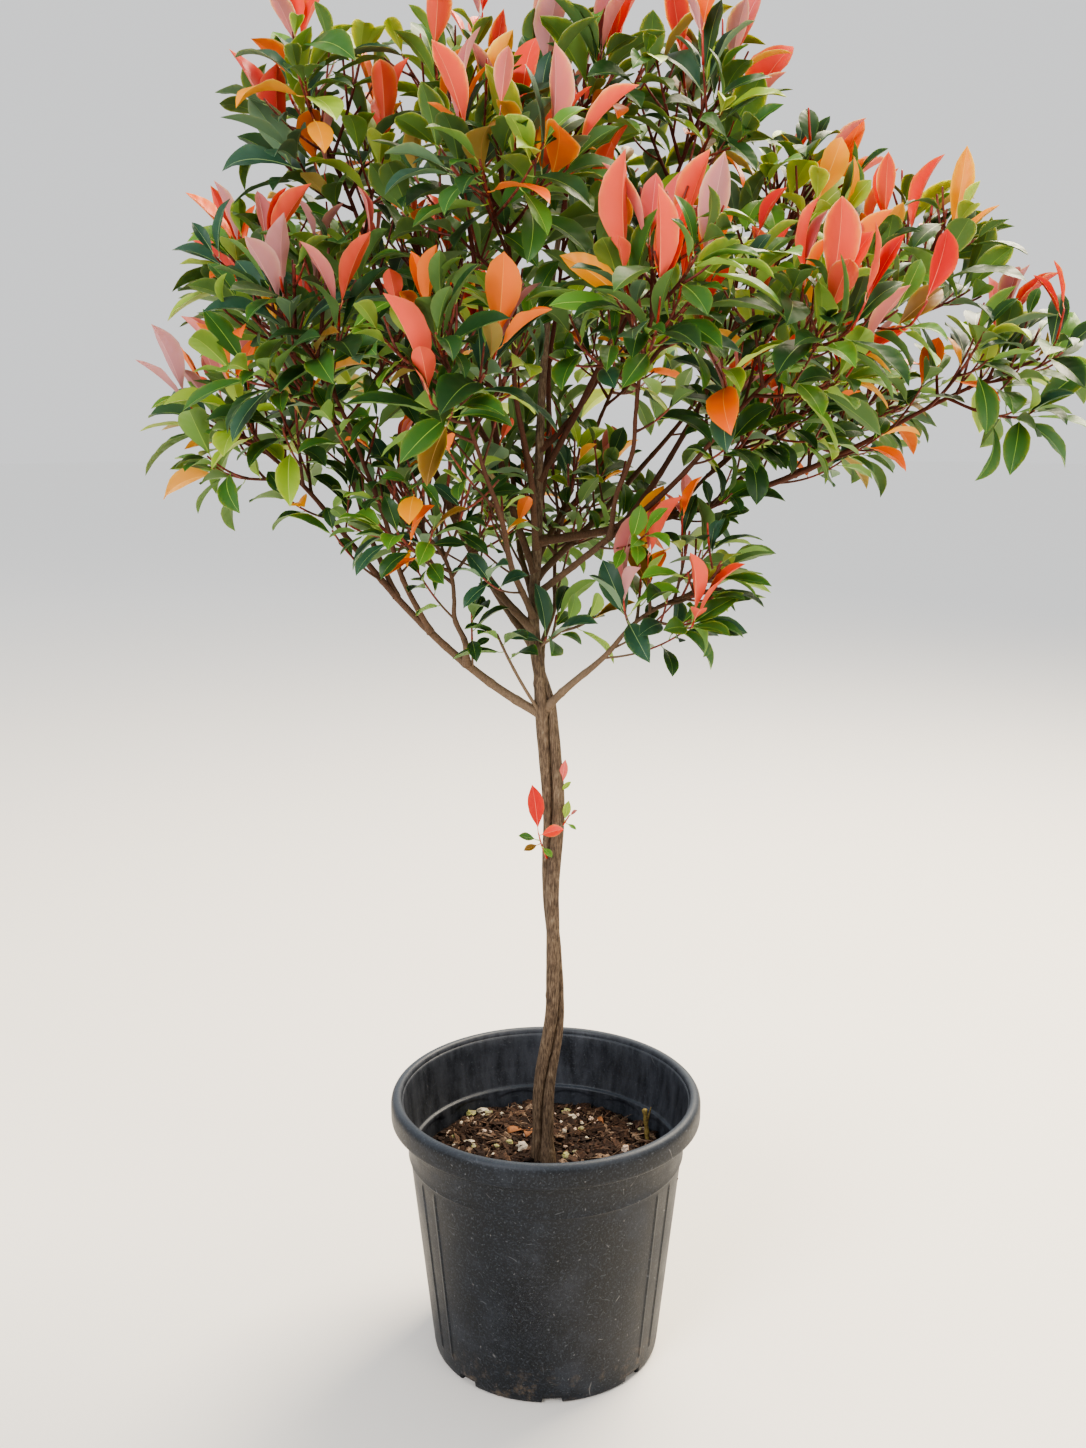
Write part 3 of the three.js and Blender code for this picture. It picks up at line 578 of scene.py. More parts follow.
mulch = {
    "seed": 411,
    "level": 208.0,
    "mound": 2.5,
    "radius": 139.0,
    "trunkClear": 15.0,
    "chips": 2300,
    "pebbles": 110,
    "fibres": 420,
    "underside": 190.0,
    "shortChips": (5, 13),  # lengths
    "longChips": (13, 24),
    "shortShare": 0.75,
    "chipRatio": (0.28, 0.6),
    "chipThick": (1.0, 2.6),
    "chipShares": (0.3, 0.28, 0.22, 0.13, 0.07),  # of each tint of bark
    "fibreSizes": ((12, 30), (0.7, 1.3), (0.5, 0.9)),
    "pebbleSizes": (1.6, 4.4),
    "pebbleShares": (0.36, 0.28, 0.12, 0.24),  # of each tint of stone
}

barkTints = ["#291b14", "#38261b", "#4b3527", "#6a5140", "#8f7864"]
stoneTints = ["#d3c9b4", "#d5b8a6", "#9fa05a", "#b3aa9d"]


def crumbled(name, colour, darker, fleck, roughness):
    # broken plant or mineral matter: matt, mottled between two tints of itself in flecks of so many mm
    material, tree, shader = newMaterial(name, {"Roughness": roughness, "Specular IOR Level": 0.3})
    place = addNode(tree, "TexCoord").outputs["Object"]
    mottle = cloudsOf(tree, place, fleck, 5.0, 0.65)
    tint = addNode(tree, "ValToRGB", {"stops": [(0.35, darker), (0.65, colour)]}, {"Fac": mottle})
    tree.links.new(tint.outputs["Color"], shader.inputs["Base Color"])
    roughen(tree, shader, mottle, 0.5, 0.6)
    return material


def soilHeight(x, y):
    r = math.hypot(x, y)
    share = min(r / mulch["radius"], 1.0)
    base = mulch["level"] + mulch["mound"] * math.exp(-((r - 60) / 45) ** 2) - 4 * share ** 6
    broad = noise.noise(Vector((x * 0.05, y * 0.05, 3.1)))
    return base + 1.6 * broad + 0.7 * noise.noise(Vector((x * 0.2, y * 0.2, 8)))


def addChip(heap, random, centre, size, tilt, spin, look):
    # a split flake: six-cornered, thicker at one edge, bent along its length
    long, wide, thick = size
    outline = [(-0.5, -0.3), (-0.15, -0.5), (0.4, -0.42), (0.5, 0.25), (0.1, 0.5), (-0.42, 0.38)]
    points = []
    for level in (-0.5, 0.5):
        for x, y in outline:
            x += random.uniform(-0.09, 0.09)
            y += random.uniform(-0.12, 0.12)
            taper = 1 - 0.25 * (level > 0)
            high = level * thick * (1 + 0.5 * x) - 0.5 * x * x * thick
            points.append((x * long * taper, y * wide * taper, high))
    points = np.array(points)
    cosT, sinT = math.cos(tilt), math.sin(tilt)
    points = points @ np.array([[1, 0, 0], [0, cosT, sinT], [0, -sinT, cosT]])
    pitch = random.uniform(-0.45, 0.45)
    cosP, sinP = math.cos(pitch), math.sin(pitch)
    points = points @ np.array([[cosP, 0, sinP], [0, 1, 0], [-sinP, 0, cosP]])
    points = spun(points, spin)
    quads = [(k, (k + 1) % 6, 6 + (k + 1) % 6, 6 + k) for k in range(6)]
    quads += [(3, 2, 1, 0), (5, 4, 3, 0), (6, 7, 8, 9), (6, 9, 10, 11)]
    heap.add(points + centre, quads, look, None, np.ones(12, bool))


def addPebble(heap, random, centre, radius, look):
    # a broken, flat-sided lump
    rings, turns = 5, 7
    shift = random.uniform(0, 50)
    points = []
    for i in range(1, rings):
        for k in range(turns):
            a, b = math.pi * i / rings, 2 * math.pi * (k + 0.4 * (i % 2)) / turns
            ray = Vector((math.sin(a) * math.cos(b), math.sin(a) * math.sin(b), math.cos(a)))
            lump = 1 + 0.6 * noise.noise(ray * 1.9 + Vector((shift, 0, 0)))
            r = radius * lump * random.uniform(0.86, 1.14)
            points.append((ray.x * r, ray.y * r * 0.72, ray.z * r * 0.6))
    points += [(0, 0, 0.5 * radius), (0, 0, -0.5 * radius)]
    points = spun(points, random.uniform(0, 2 * math.pi))
    tris = []
    for i in range(rings - 2):
        for k in range(turns):
            a, b = i * turns + k, i * turns + (k + 1) % turns
            tris += [(a, a + turns, b), (b, a + turns, b + turns)]
    top = (rings - 1) * turns
    low = (rings - 2) * turns
    tris += [(top, k, (k + 1) % turns) for k in range(turns)]
    tris += [(top + 1, low + (k + 1) % turns, low + k) for k in range(turns)]
    heap.add(points + centre, None, look, tris, np.ones(len(points), bool))


def strewn(random, nearest, farthest):
    # a place on the compost, evenly spread between two distances from the middle
    away = nearest + (farthest - nearest) * math.sqrt(random.random())
    turn = random.uniform(0, 2 * math.pi)
    return away * math.cos(turn), away * math.sin(turn)


def buildMulch():
    random = np.random.default_rng(mulch["seed"])
    bed = Heap()
    turns, rings = 72, 26
    radii = [mulch["radius"] * (k / rings) ** 0.8 for k in range(1, rings + 1)]
    points = [(0, 0, soilHeight(0, 0))]
    for r in radii:
        for k in range(turns):
            x, y = r * math.cos(2 * math.pi * k / turns), r * math.sin(2 * math.pi * k / turns)
            points.append((x, y, soilHeight(x, y)))
    edge = 1 + (rings - 1) * turns
    points += [(x, y, mulch["underside"]) for x, y, _ in points[edge:]] + [(0, 0, mulch["underside"])]
    quads = [(1 + i * turns + k, 1 + (i + 1) * turns + k, 1 + (i + 1) * turns + (k + 1) % turns,
              1 + i * turns + (k + 1) % turns) for i in range(rings) for k in range(turns)]
    tris = [(0, 1 + k, 1 + (k + 1) % turns) for k in range(turns)]
    tris += [(edge + 2 * turns, edge + turns + (k + 1) % turns, edge + turns + k) for k in range(turns)]
    bed.add(points, quads, 0, tris)
    compost = crumbled("sievedCompost", "#34231a", "#160e0a", 2.4, 0.95)
    makePiece("compost_bed", bed, [compost], ["mulch"])

    chips = Heap()
    for _ in range(mulch["chips"]):
        x, y = strewn(random, mulch["trunkClear"], mulch["radius"] - 7)
        lengths = mulch["shortChips" if random.random() < mulch["shortShare"] else "longChips"]
        long = random.uniform(*lengths)
        size = (long, long * random.uniform(*mulch["chipRatio"]), random.uniform(*mulch["chipThick"]))
        height = soilHeight(x, y) + random.uniform(0.2, 3.4)
        look = int(random.choice(5, p=mulch["chipShares"]))
        addChip(chips, random, (x, y, height), size, random.normal(0, 0.4), random.uniform(0, 6.28), look)
    for _ in range(mulch["fibres"]):
        x, y = strewn(random, mulch["trunkClear"], mulch["radius"] - 10)
        size = [random.uniform(*spread) for spread in mulch["fibreSizes"]]
        height = soilHeight(x, y) + random.uniform(2, 4.5)
        spin = random.uniform(0, 6.28)
        addChip(chips, random, (x, y, height), size, 0.2, spin, int(random.integers(2, 5)))
    looks = [crumbled("shreddedPineBark%d" % k, tint, "#20130c", 3.8, 0.85)
             for k, tint in enumerate(barkTints)]
    makePiece("bark_chips", chips, looks)

    stones = Heap()
    # the larger ones where the photograph shows them, the rest strewn
    known = [(-86, 106, 8, 2), (-72, 110, 9, 0), (-66, 104, 6, 2), (-108, 55, 6, 1), (-84, 32, 6.5, 0),
             (-79, 22, 4.5, 2), (-40, 28, 5.5, 2), (-26, 21, 7.5, 3), (24, 108, 6, 2), (30, 90, 6, 0),
             (22, 4, 6, 2), (87, 17, 7, 1), (58, 80, 5, 1), (-30, 118, 5, 0), (-2, 104, 5, 1),
             (70, -60, 6, 0), (-60, -70, 6, 3), (10, -84, 5, 1), (-98, -30, 5, 2)]
    for x, y, r, look in known:
        addPebble(stones, random, (x, y, soilHeight(x, y) + 1.2 + r * 0.25), r, look)
    for _ in range(mulch["pebbles"]):
        x, y = strewn(random, 20, mulch["radius"] - 10)
        size = random.uniform(*mulch["pebbleSizes"])
        look = int(random.choice(4, p=mulch["pebbleShares"]))
        addPebble(stones, random, (x, y, soilHeight(x, y) + 1.5 + size * 0.3), size, look)
    looks = [crumbled("riverGrit%d" % k, tint, "#8a8172", 5.6, 0.7) for k, tint in enumerate(stoneTints)]
    makePiece("pebbles", stones, looks)

    # a cut twig that stands up at the right, a root hair and three dry leaves
    litter = Heap()
    stub = bezier([vec(113, 43, 200), vec(112, 43, 226), vec(109, 42, 246)], np.linspace(0, 1, 12))
    addLimb(litter, stub, 2.6 + 0.5 * np.sin(np.arange(12) * 1.9), 8)
    bud = bezier([vec(112, 42.5, 230), vec(114, 41, 240), vec(116, 40, 250)], np.linspace(0, 1, 5))
    addLimb(litter, bud, [1.5, 1.4, 1.2, 1.0, 0.5], 7)
    hair = bezier([vec(6, 8, 228), vec(48, 30, 236), vec(96, 68, 212)], np.linspace(0, 1, 16))
    addLimb(litter, hair, np.linspace(0.35, 0.22, 16), 5, 1)
    dryLeaves = ((-30, 56, 213.5, 26, 0.3), (-18, 50, 214, 20, 1.1), (60, 78, 213, 15, 2.2))
    for x, y, z, length, spin in dryLeaves:
        flake = []
        for j in range(7):
            share = j / 6
            half = length * 0.28 * math.sin(math.pi * (0.06 + 0.9 * share)) ** 0.8
            for k in (-1, -0.4, 0.4, 1):
                lift = 2.2 * k * k + 2.5 * math.sin(share * 5 + k)
                flake.append(((share - 0.5) * length, half * k, lift))
        flake = spun(flake, spin)
        sheet = np.vstack([flake, flake - up * 0.5]) + vec(x, y, z)
        quads = [(j + k, j + k + 1, j + k + 5, j + k + 4) for j in range(0, 24, 4) for k in range(3)]
        quads += [(28 + a, 28 + d, 28 + c, 28 + b) for a, b, c, d in quads]
        rim = [0, 1, 2, 3, 7, 11, 15, 19, 23, 27, 26, 25, 24, 20, 16, 12, 8, 4]
        quads += [(a + 28, b + 28, b, a) for a, b in zip(rim, rim[1:] + rim[:1])]
        litter.add(sheet, quads, 2)
    looks = [crumbled("greenWoodStub", "#8a7a45", "#5a4a2c", 4.2, 0.7),
             crumbled("driedRootHair", "#6b4a33", "#4a3224", 3.3, 0.8),
             crumbled("witheredLeaf", "#93633f", "#6a4329", 7.7, 0.75)]
    makePiece("litter", litter, looks)


buildMulch()
print("mulch strewn")


# Trunk

trunk = {
    "line": [
        (208.3, -3, 0), (290, -2, 2), (375, 9, 0), (455, 8, -3), (520, 5, 0), (600, 8, 3), (660, 4, 0),
        (712, -1, 0), (786, -12, 2), (870, -9, 6), (1000, -5, 0), (1110, 4, -8), (1185, 16, -14),
    ],  # height, right, back
    "soil": 208.0,
    "stations": 28,
    "strandRadius": 7.0,
    "strandOffset": 4.6,
    "forkHeight": 712.0,
    "mergeHeight": 745.0,
    "twistStart": 290.0,
    "twistPitch": 720.0,
    "leaderRadius": 6.2,
    "tipRadius": 2.3,
    "flare": 0.32,
    "flareHeight": 20.0,
    "turns": 62,
    "step": 2.3,  # between rings of the barked skin
    "crackDepth": 3.4,  # of the dark seam where the two strands meet
    "crackWidth": 0.2,  # radians
    "crackWander": 0.22,
    "crackEnd": 765.0,  # just above the fork
    "crackFade": 60.0,
    "tones": [(0.34, "#2f241b"), (0.46, "#534334"), (0.56, "#6e5c49"), (0.7, "#8e7e67")],
    "relief": 0.62,
    "reliefFade": 500.0,  # below the tip
    "leastRelief": 0.35,
    "wrinkles": 3.4,  # round the trunk
    "knotHeight": 0.55,
    "knotSpread": 26,  # degrees
    "knots": [  # height, degrees round the trunk, size
        (262, 250, 2.4), (335, 300, 2.0), (402, 215, 1.8), (470, 280, 2.2), (548, 245, 2.0),
        (607, 300, 2.6), (650, 230, 2.0), (690, 285, 2.4), (735, 200, 2.4), (800, 260, 1.8),
        (866, 300, 1.6), (930, 240, 1.4),
    ],
}


def barkOf(name, tones, streak, relief):
    # smooth young bark: matt, streaked along the stem in threads of 1.4 mm, and paler in patches of
    # 13 mm where it has weathered
    material, tree, shader = newMaterial(name, {"Roughness": 0.78, "Specular IOR Level": 0.35})
    place = addNode(tree, "TexCoord").outputs["Object"]
    drawn = addNode(tree, "Mapping", {"Scale": (1.0, 1.0, streak)}, {"Vector": place})
    fine = cloudsOf(tree, drawn, 1.4, 5.0, 0.65)
    broad = cloudsOf(tree, place, 13, 4.0, 0.6)
    some = addNode(tree, "Math", {"operation": "MULTIPLY", 1: 0.28}, {0: broad})
    both = addNode(tree, "Math", {"operation": "MULTIPLY_ADD", 1: 0.72}, {0: fine, 2: some})
    streaks = addNode(tree, "ValToRGB", {"stops": tones}, {"Fac": both}).outputs["Color"]
    roughen(tree, shader, fine, 0.7, relief)
    tree.links.new(streaks, shader.inputs["Base Color"])
    return material, tree, shader, place, streaks


trunkLine = np.array([(right, back, height) for height, right, back in trunk["line"]], float)
trunkPoints = throughPoints(trunkLine, trunk["stations"])


def trunkPointAt(height):
    k = int(np.argmax(trunkPoints[:, 2] > height))
    low, high = trunkPoints[k - 1], trunkPoints[k]
    return blend(low, high, (height - low[2]) / (high[2] - low[2]))


def trunkSkin(points, angles):
    # two round strands side by side, turning about each other up to the fork
    height = points[:, 2][:, None]
    tip = trunkPoints[-1][2]
    merged = np.clip((height - trunk["forkHeight"]) / (trunk["mergeHeight"] - trunk["forkHeight"]), 0, 1)
    leader = blend(trunk["leaderRadius"], trunk["tipRadius"],
                   np.clip((height - trunk["mergeHeight"]) / (tip - trunk["mergeHeight"]), 0, 1))
    offset = trunk["strandOffset"] * (1 - merged)
    strand = blend(trunk["strandRadius"], leader, merged)
    turn = angles[None, :] - 2 * math.pi * (height - trunk["twistStart"]) / trunk["twistPitch"]
    radius = offset * np.abs(np.cos(turn)) + np.sqrt(strand ** 2 - (offset * np.sin(turn)) ** 2)
    above = height - trunk["soil"]
    return radius * (1 + trunk["flare"] * np.exp(-(above / trunk["flareHeight"]) ** 2))


def barkRelief(points, angles, seed, depth, grain):
    # wrinkles that run along the limb, and coarser swellings
    relief = np.zeros((len(points), len(angles)))
    for k, along in enumerate(lengthsAlong(points)):
        for j, angle in enumerate(angles):
            c, s = math.cos(angle), math.sin(angle)
            wrinkle = noise.noise(Vector((c * grain, s * grain, along * 0.045 + seed)))
            swelling = noise.noise(Vector((c * 0.9, s * 0.9, along * 0.028 + seed * 3)))
            relief[k, j] = depth * (0.6 * wrinkle + 0.8 * swelling)
    return relief


def buildTrunk():
    stations = int((trunkPoints[-1][2] - trunkPoints[0][2]) / trunk["step"])
    points = throughPoints(trunkLine, stations)
    sunk = np.vstack([points[0] - up * 9, points])  # the foot goes on under the mulch
    angles = np.arange(trunk["turns"]) * 2 * math.pi / trunk["turns"]
    radius = trunkSkin(sunk, angles)
    relief = barkRelief(sunk, angles, 2.0, trunk["relief"], trunk["wrinkles"])
    for height, turn, size in trunk["knots"]:
        reach = np.exp(-((sunk[:, 2] - height) / (size * 1.5)) ** 2)[:, None]
        around = np.exp(-degreesApart(np.degrees(angles), turn)[None, :] ** 2 / trunk["knotSpread"] ** 2)
        relief += size * trunk["knotHeight"] * reach * around
    belowTip = trunk["line"][-1][0] - sunk[:, 2]
    fade = np.clip(belowTip / trunk["reliefFade"], trunk["leastRelief"], 1)[:, None]
    merged = np.clip((trunk["crackEnd"] - sunk[:, 2]) / trunk["crackFade"], 0, 1)[:, None]
    seam = angles[None, :] - 2 * math.pi * (sunk[:, 2][:, None] - trunk["twistStart"]) / trunk["twistPitch"]
    wander = np.array([noise.noise(Vector((0, 4.2, z * 0.03))) for z in sunk[:, 2]])[:, None]
    wander *= trunk["crackWander"]
    seam = np.abs((seam + wander) % math.pi - math.pi / 2)
    relief -= trunk["crackDepth"] * merged * np.exp(-(seam / trunk["crackWidth"]) ** 2)
    heap = Heap()
    addLimb(heap, sunk, radius + relief * fade, trunk["turns"], 0, up)
    bark = barkOf("weatheredPhotiniaBark", trunk["tones"], 0.16, 1.2)[0]
    makePiece("twisted_trunk", heap, [bark], ["trunk"])


buildTrunk()
print("trunk barked")


# The crown's masses and the boughs that carry them, from the same sizes as the solids

crownRows = [
    # name, from, at, climb, thick, centre, radii
    ("left_low", "trunk", 700, 27, (4.9, 2.3), (-283, -23, 975), (126, 134, 112)),
    ("left_mid", "left_low", 0.62, 62, (2.9, 1.9), (-246, 45, 1108), (131, 134, 112)),
    ("left_front", "left_low", 0.46, 52, (2.9, 1.9), (-196, -136, 1052), (132, 126, 120)),
    ("left_back", "trunk", 765, 45, (4.0, 2.1), (-180, 168, 1050), (136, 134, 130)),
    ("left_top", "trunk", 788, 42, (4.2, 2.1), (-206, -9, 1237), (114, 132, 131)),
    ("top_left", "trunk", 845, 66, (3.8, 2.0), (-91, 30, 1263), (106, 134, 114)),
    ("top_mid", "tip", 1, 80, (2.2, 2.2), (35, -20, 1262), (107, 134, 112)),
    ("top_right", "trunk", 935, 58, (3.2, 2.0), (146, 11, 1262), (106, 134, 109)),
    ("top_back", "trunk", 895, 55, (3.4, 2.0), (20, 184, 1200), (134, 129, 124)),
    ("top_front", "trunk", 868, 50, (3.3, 2.0), (-38, -160, 1178), (124, 122, 119)),
    ("right_top", "right_far", 0.2, 46, (3.2, 1.9), (234, 35, 1178), (116, 134, 106)),
    ("right_far", "trunk", 876, 6, (4.4, 2.0), (436, 0, 1024), (108, 124, 108)),
    ("right_mid", "right_far", 0.45, 45, (2.8, 1.9), (345, -5, 1122), (116, 128, 104)),
    ("right_low", "right_far", 0.66, 10, (2.4, 1.7), (318, 80, 985), (120, 120, 84)),
    ("right_back", "trunk", 838, 38, (3.6, 2.0), (215, 182, 1066), (134, 124, 122)),
    ("right_front", "trunk", 822, 34, (3.6, 2.0), (222, -150, 1050), (134, 124, 119)),
    ("front_right", "right_front", 0.4, 45, (2.6, 1.8), (88, -210, 1082), (117, 112, 122)),
    ("front_left", "trunk", 800, 44, (3.4, 1.9), (-76, -206, 1030), (114, 112, 114)),
    ("back_left", "trunk", 812, 46, (3.4, 1.9), (-60, 216, 1040), (119, 114, 119)),
    ("back_right", "trunk", 855, 40, (3.2, 1.9), (86, 240, 1046), (114, 106, 116)),
    ("inner_left", "left_low", 0.3, 58, (3.6, 2.0), (-102, -60, 900), (106, 104, 97)),
    ("inner_back", "trunk", 742, 42, (3.4, 1.9), (20, 98, 906), (110, 104, 99)),
    ("right_cluster", "trunk", 708, 46, (4.4, 2.2), (124, -62, 842), (106, 104, 90)),
    ("mid_left", "top_left", 0.34, 40, (3.0, 1.9), (-118, 50, 1130), (105, 110, 105)),
    ("mid_right", "trunk", 965, 30, (3.0, 1.9), (118, 50, 1140), (105, 110, 100)),
    ("right_inner", "right_far", 0.3, 20, (2.6, 1.8), (205, -10, 978), (106, 106, 84)),
]

shootRows = [
    # name, height, lean right and back, rise, length, radii, leaf, twigs
    ("fork_tuft", 770, (5, -1), 0.55, 42, (56, 46, 44), 52, 4),
    ("low_twig", 694, (-0.75, -0.5), 1.3, 96, (46, 40, 46), 46, 4),
    ("trunk_sprout", 596, (-0.4, -1), 0.9, 27, (36, 30, 40), 34, 3),
]

boughShape = {
    "segments": 5,
    "crook": 4.5,
    "footLever": 0.36,
    "tipLever": 0.3,
    "tipRise": 0.25,
    "entry": 0.82,
    "mostSpan": 0.8,
    "turns": 12,
    "step": 3.6,
    "collar": 0.55,  # how much thicker where it leaves its parent
    "scar": 0.13,  # swelling at each old bud
    "scarGap": (18, 40),
    "relief": 0.34,
    "wrinkles": 2.0,
}

stemShape = {"lever": 0.5, "heart": 930, "rise": 0.5, "reach": 0.42}


def boughCurve(start, end, arrival, climb, roll, shares):
    span = np.linalg.norm(end - start)
    level = unit((end - start) * vec(1, 1, 0))
    leave = level * math.cos(math.radians(climb)) + up * math.sin(math.radians(climb))
    controls = [start, start + leave * span * boughShape["footLever"],
                end - arrival * span * boughShape["tipLever"], end]
    side = sideOf(level)
    sway = boughShape["crook"] * (-1 if roll < 0.5 else 1)
    shares = np.asarray(shares, float)
    aside = sway * np.sin(2 * math.pi * shares) * np.sin(math.pi * shares)
    return bezier(controls, shares) + aside[:, None] * side


def pathPoint(path, share):
    place = share * (len(path) - 1)
    k = min(int(place), len(path) - 2)
    return blend(path[k], path[k + 1], place - k)


def layOutMass(row, index, laid):
    name, source, at, climb, thick, centre, radii = row
    centre, radii = vec(*centre), vec(*radii)
    roll = dice(1000 + 41 * index)
    mass = {"name": name, "centre": centre, "radii": radii, "thick": thick, "path": None, "bough": None}
    if source == "tip":
        start = entry = trunkPoints[-1]
        tipWay = unit(trunkPoints[-1] - trunkPoints[-2])
    else:
        start = trunkPointAt(at) if source == "trunk" else pathPoint(laid[source]["path"], at)
        away = start - centre
        inward = boughShape["entry"] / np.linalg.norm(away / radii)
        entry = centre + away * min(inward, boughShape["mostSpan"])
        arrival = unit(unit(centre - start) + up * boughShape["tipRise"])
        side = roll()
        coarse = np.linspace(0, 1, boughShape["segments"] + 1)
        mass["path"] = boughCurve(start, entry, arrival, climb, side, coarse)
        count = max(10, int(np.linalg.norm(entry - start) / boughShape["step"]))
        fine = np.linspace(0, 1, count + 1)
        bough = boughCurve(start, entry, arrival, climb, side, fine)
        if source != "trunk":  # its foot is drawn in to the parent's curved line
            parent = laid[source]["bough"]
            foot = parent[np.argmin(np.linalg.norm(parent - start, axis=1))]
            bough = bough + (foot - start) * ((1 - fine) ** 4)[:, None]
        mass["bough"] = bough
        tipWay = unit(entry - mass["path"][-2])
    outward = unit(unit(centre - up * stemShape["heart"]) + up * stemShape["rise"])
    crest = centre + outward * radii * stemShape["reach"]
    lever = entry + tipWay * np.linalg.norm(crest - entry) * stemShape["lever"]
    mass["stem"] = [entry, lever, crest]
    mass["stemRadii"] = (thick[1], 1.5)
    return mass


def layOutShoot(row):
    name, height, lean, rise, length, radii, leaf, twigs = row
    start = trunkPointAt(height)
    heading = unit(unit(vec(lean[0], lean[1], 0)) + up * rise)
    lever = start + heading * length * 0.6
    crest = start + heading * length + up * length * 0.2
    return {"name": name, "centre": crest - up * 4, "radii": vec(*radii), "path": None, "bough": None,
            "stem": [start, lever, crest], "stemRadii": (2.1, 1.2), "leaf": leaf, "twigs": twigs}


def layOutCrown():
    laid = {}
    waiting = list(enumerate(crownRows))
    while waiting:
        index, row = waiting.pop(0)
        if row[1] in ("trunk", "tip") or row[1] in laid:
            laid[row[0]] = layOutMass(row, index, laid)
        else:
            waiting.append((index, row))
    masses = [laid[row[0]] for row in crownRows]
    return masses + [layOutShoot(row) for row in shootRows]


masses = layOutCrown()
centres = np.array([mass["centre"] for mass in masses])
meanRadii = np.array([mass["radii"].mean() for mass in masses])


def boughBark():
    # young photinia wood: grey-brown where it is old, red-brown towards the shoots
    tones = [(0.38, 0.62), (0.62, 1.0)]
    material, tree, shader, place, streaks = barkOf("smoothYoungPhotiniaBark", tones, 0.5, 0.4)
    away = addNode(tree, "VectorMath", {"operation": "DISTANCE", 1: (0.0, 0.0, 0.72)}, {0: place})
    ages = [(0.03, "#776450"), (0.12, "#66503d"), (0.26, "#573626"), (0.45, "#5f2c20")]
    age = addNode(tree, "ValToRGB", {"stops": ages}, {"Fac": away.outputs["Value"]})
    product = {"data_type": "RGBA", "blend_type": "MULTIPLY", 0: 1.0}
    tint = addNode(tree, "Mix", product, {6: age, 7: streaks})
    tree.links.new(tint.outputs[2], shader.inputs["Base Color"])
    return material


woodBark = boughBark()


def buildBoughs():
    angles = np.arange(boughShape["turns"]) * 2 * math.pi / boughShape["turns"]
    for index, mass in enumerate(masses):
        if mass["bough"] is None:
            continue
        points = mass["bough"]
        shares = np.linspace(0, 1, len(points))
        lengths = lengthsAlong(points)
        radius = blend(mass["thick"][0], mass["thick"][1], shares)
        collar = 1 + boughShape["collar"] * np.exp(-(lengths / 9) ** 2)
        scars = np.zeros(len(points))
        roll = dice(7000 + index)
        place = 14 + 20 * roll()
        while place < lengths[-1]:
            scars += boughShape["scar"] * np.exp(-((lengths - place) / 2.6) ** 2)
            place += blend(*boughShape["scarGap"], roll())
        skin = (radius * collar * (1 + scars))[:, None] * np.ones(len(angles))
        skin += barkRelief(points, angles, 10.0 + index, boughShape["relief"], boughShape["wrinkles"])
        heap = Heap()
        addLimb(heap, points, skin, boughShape["turns"])
        makePiece("bough_wood_" + mass["name"], heap, [woodBark], ["bough_" + mass["name"]])


buildBoughs()
print("boughs grown:", sum(mass["bough"] is not None for mass in masses))


# Twigs and shoots

growth = {
    "mainTwigs": 11,
    "innerTwigs": 13,
    "turn": 137.5,  # degrees round the stem from one twig or leaf to the next
    "turnSpread": 30,
    "firstTwig": 0.14,  # share of the stem
    "lastTwig": 0.93,
    "baseAngle": 66,  # degrees off the stem
    "tipAngle": 30,
    "angleSpread": 16,
    "twigRise": 0.2,
    "leafRoom": 0.62,  # of a leaf, left free beyond the twig's tip
    "leastReach": 0.86,
    "shortest": 0.3,
    "shorter": (1, 0.75, 0.5),  # tried in turn until the twig has room
    "twigRoom": 3.0,  # mm that twigs keep from what is there
    "trunkRoom": (13, 7),  # round the two strands, and round the leader
    "boughRoom": 4,
    "bend": 0.55,
    "end": 0.94,
    "lift": 0.26,
    "sideShoots": ((0.3, 0.6), (0.5, 0.55), (0.7, 0.42)),  # share of the twig, share of its length
    "sideAngle": 44,
    "sideSpread": 14,
    "sideTurnSpread": 40,
    "sideLengths": (0.75, 1.15),
    "sideRise": 0.12,
    "shortestSide": 22,
    "sideFreshShare": 0.4,  # of the fresh share of the main twigs
    "twigRadii": (1.75, 1.15),
    "sideRadii": (1.25, 0.95),
    "spurRadii": (1.2, 0.9),
    "spurGap": (13, 27),
    "spurTilt": (38, 74),
    "spurRise": 0.3,
    "spurLimits": (0.2, 0.98),  # share of the bough between which they stand
    "spurLength": (34, 92),
    "spurFreshShare": 0.06,
    "strayOut": 14.0,  # how far a leaf may lean over into its neighbour's space
    "trunkStray": 60,  # the same for the small masses on the trunk
    "trunkReach": 1.3,
    "freshShare": 0.38,
    "innerFreshShare": 0.2,
    "freshRoom": 0.5,  # of a leaf, left free for the upright flush
    "freshReach": 1.2,  # of the mass's own reach
    "overBox": (-4, -4, 26),  # how far a soft tip may stand out of the solids' box
}

leafSizes = {"outer": 68, "inner": 51, "spur": 47}
inner = {"inner_left", "inner_back", "mid_left", "mid_right", "right_inner", "right_low"}

limb, nobody = -1, -2  # owners that are no shoot
crowdRoom = 90000
crowd = {
    # points of wood and leaves so far, each with the room it keeps and its owner: a shoot or a limb
    "points": np.zeros((crowdRoom, 3)),
    "reach": np.zeros(crowdRoom),
    "owner": np.zeros(crowdRoom, int),
    "count": 0,
}


def settle(points, reach, owner):
    n, more = crowd["count"], len(points)
    crowd["points"][n:n + more] = points
    crowd["reach"][n:n + more] = reach
    crowd["owner"][n:n + more] = owner
    crowd["count"] = n + more


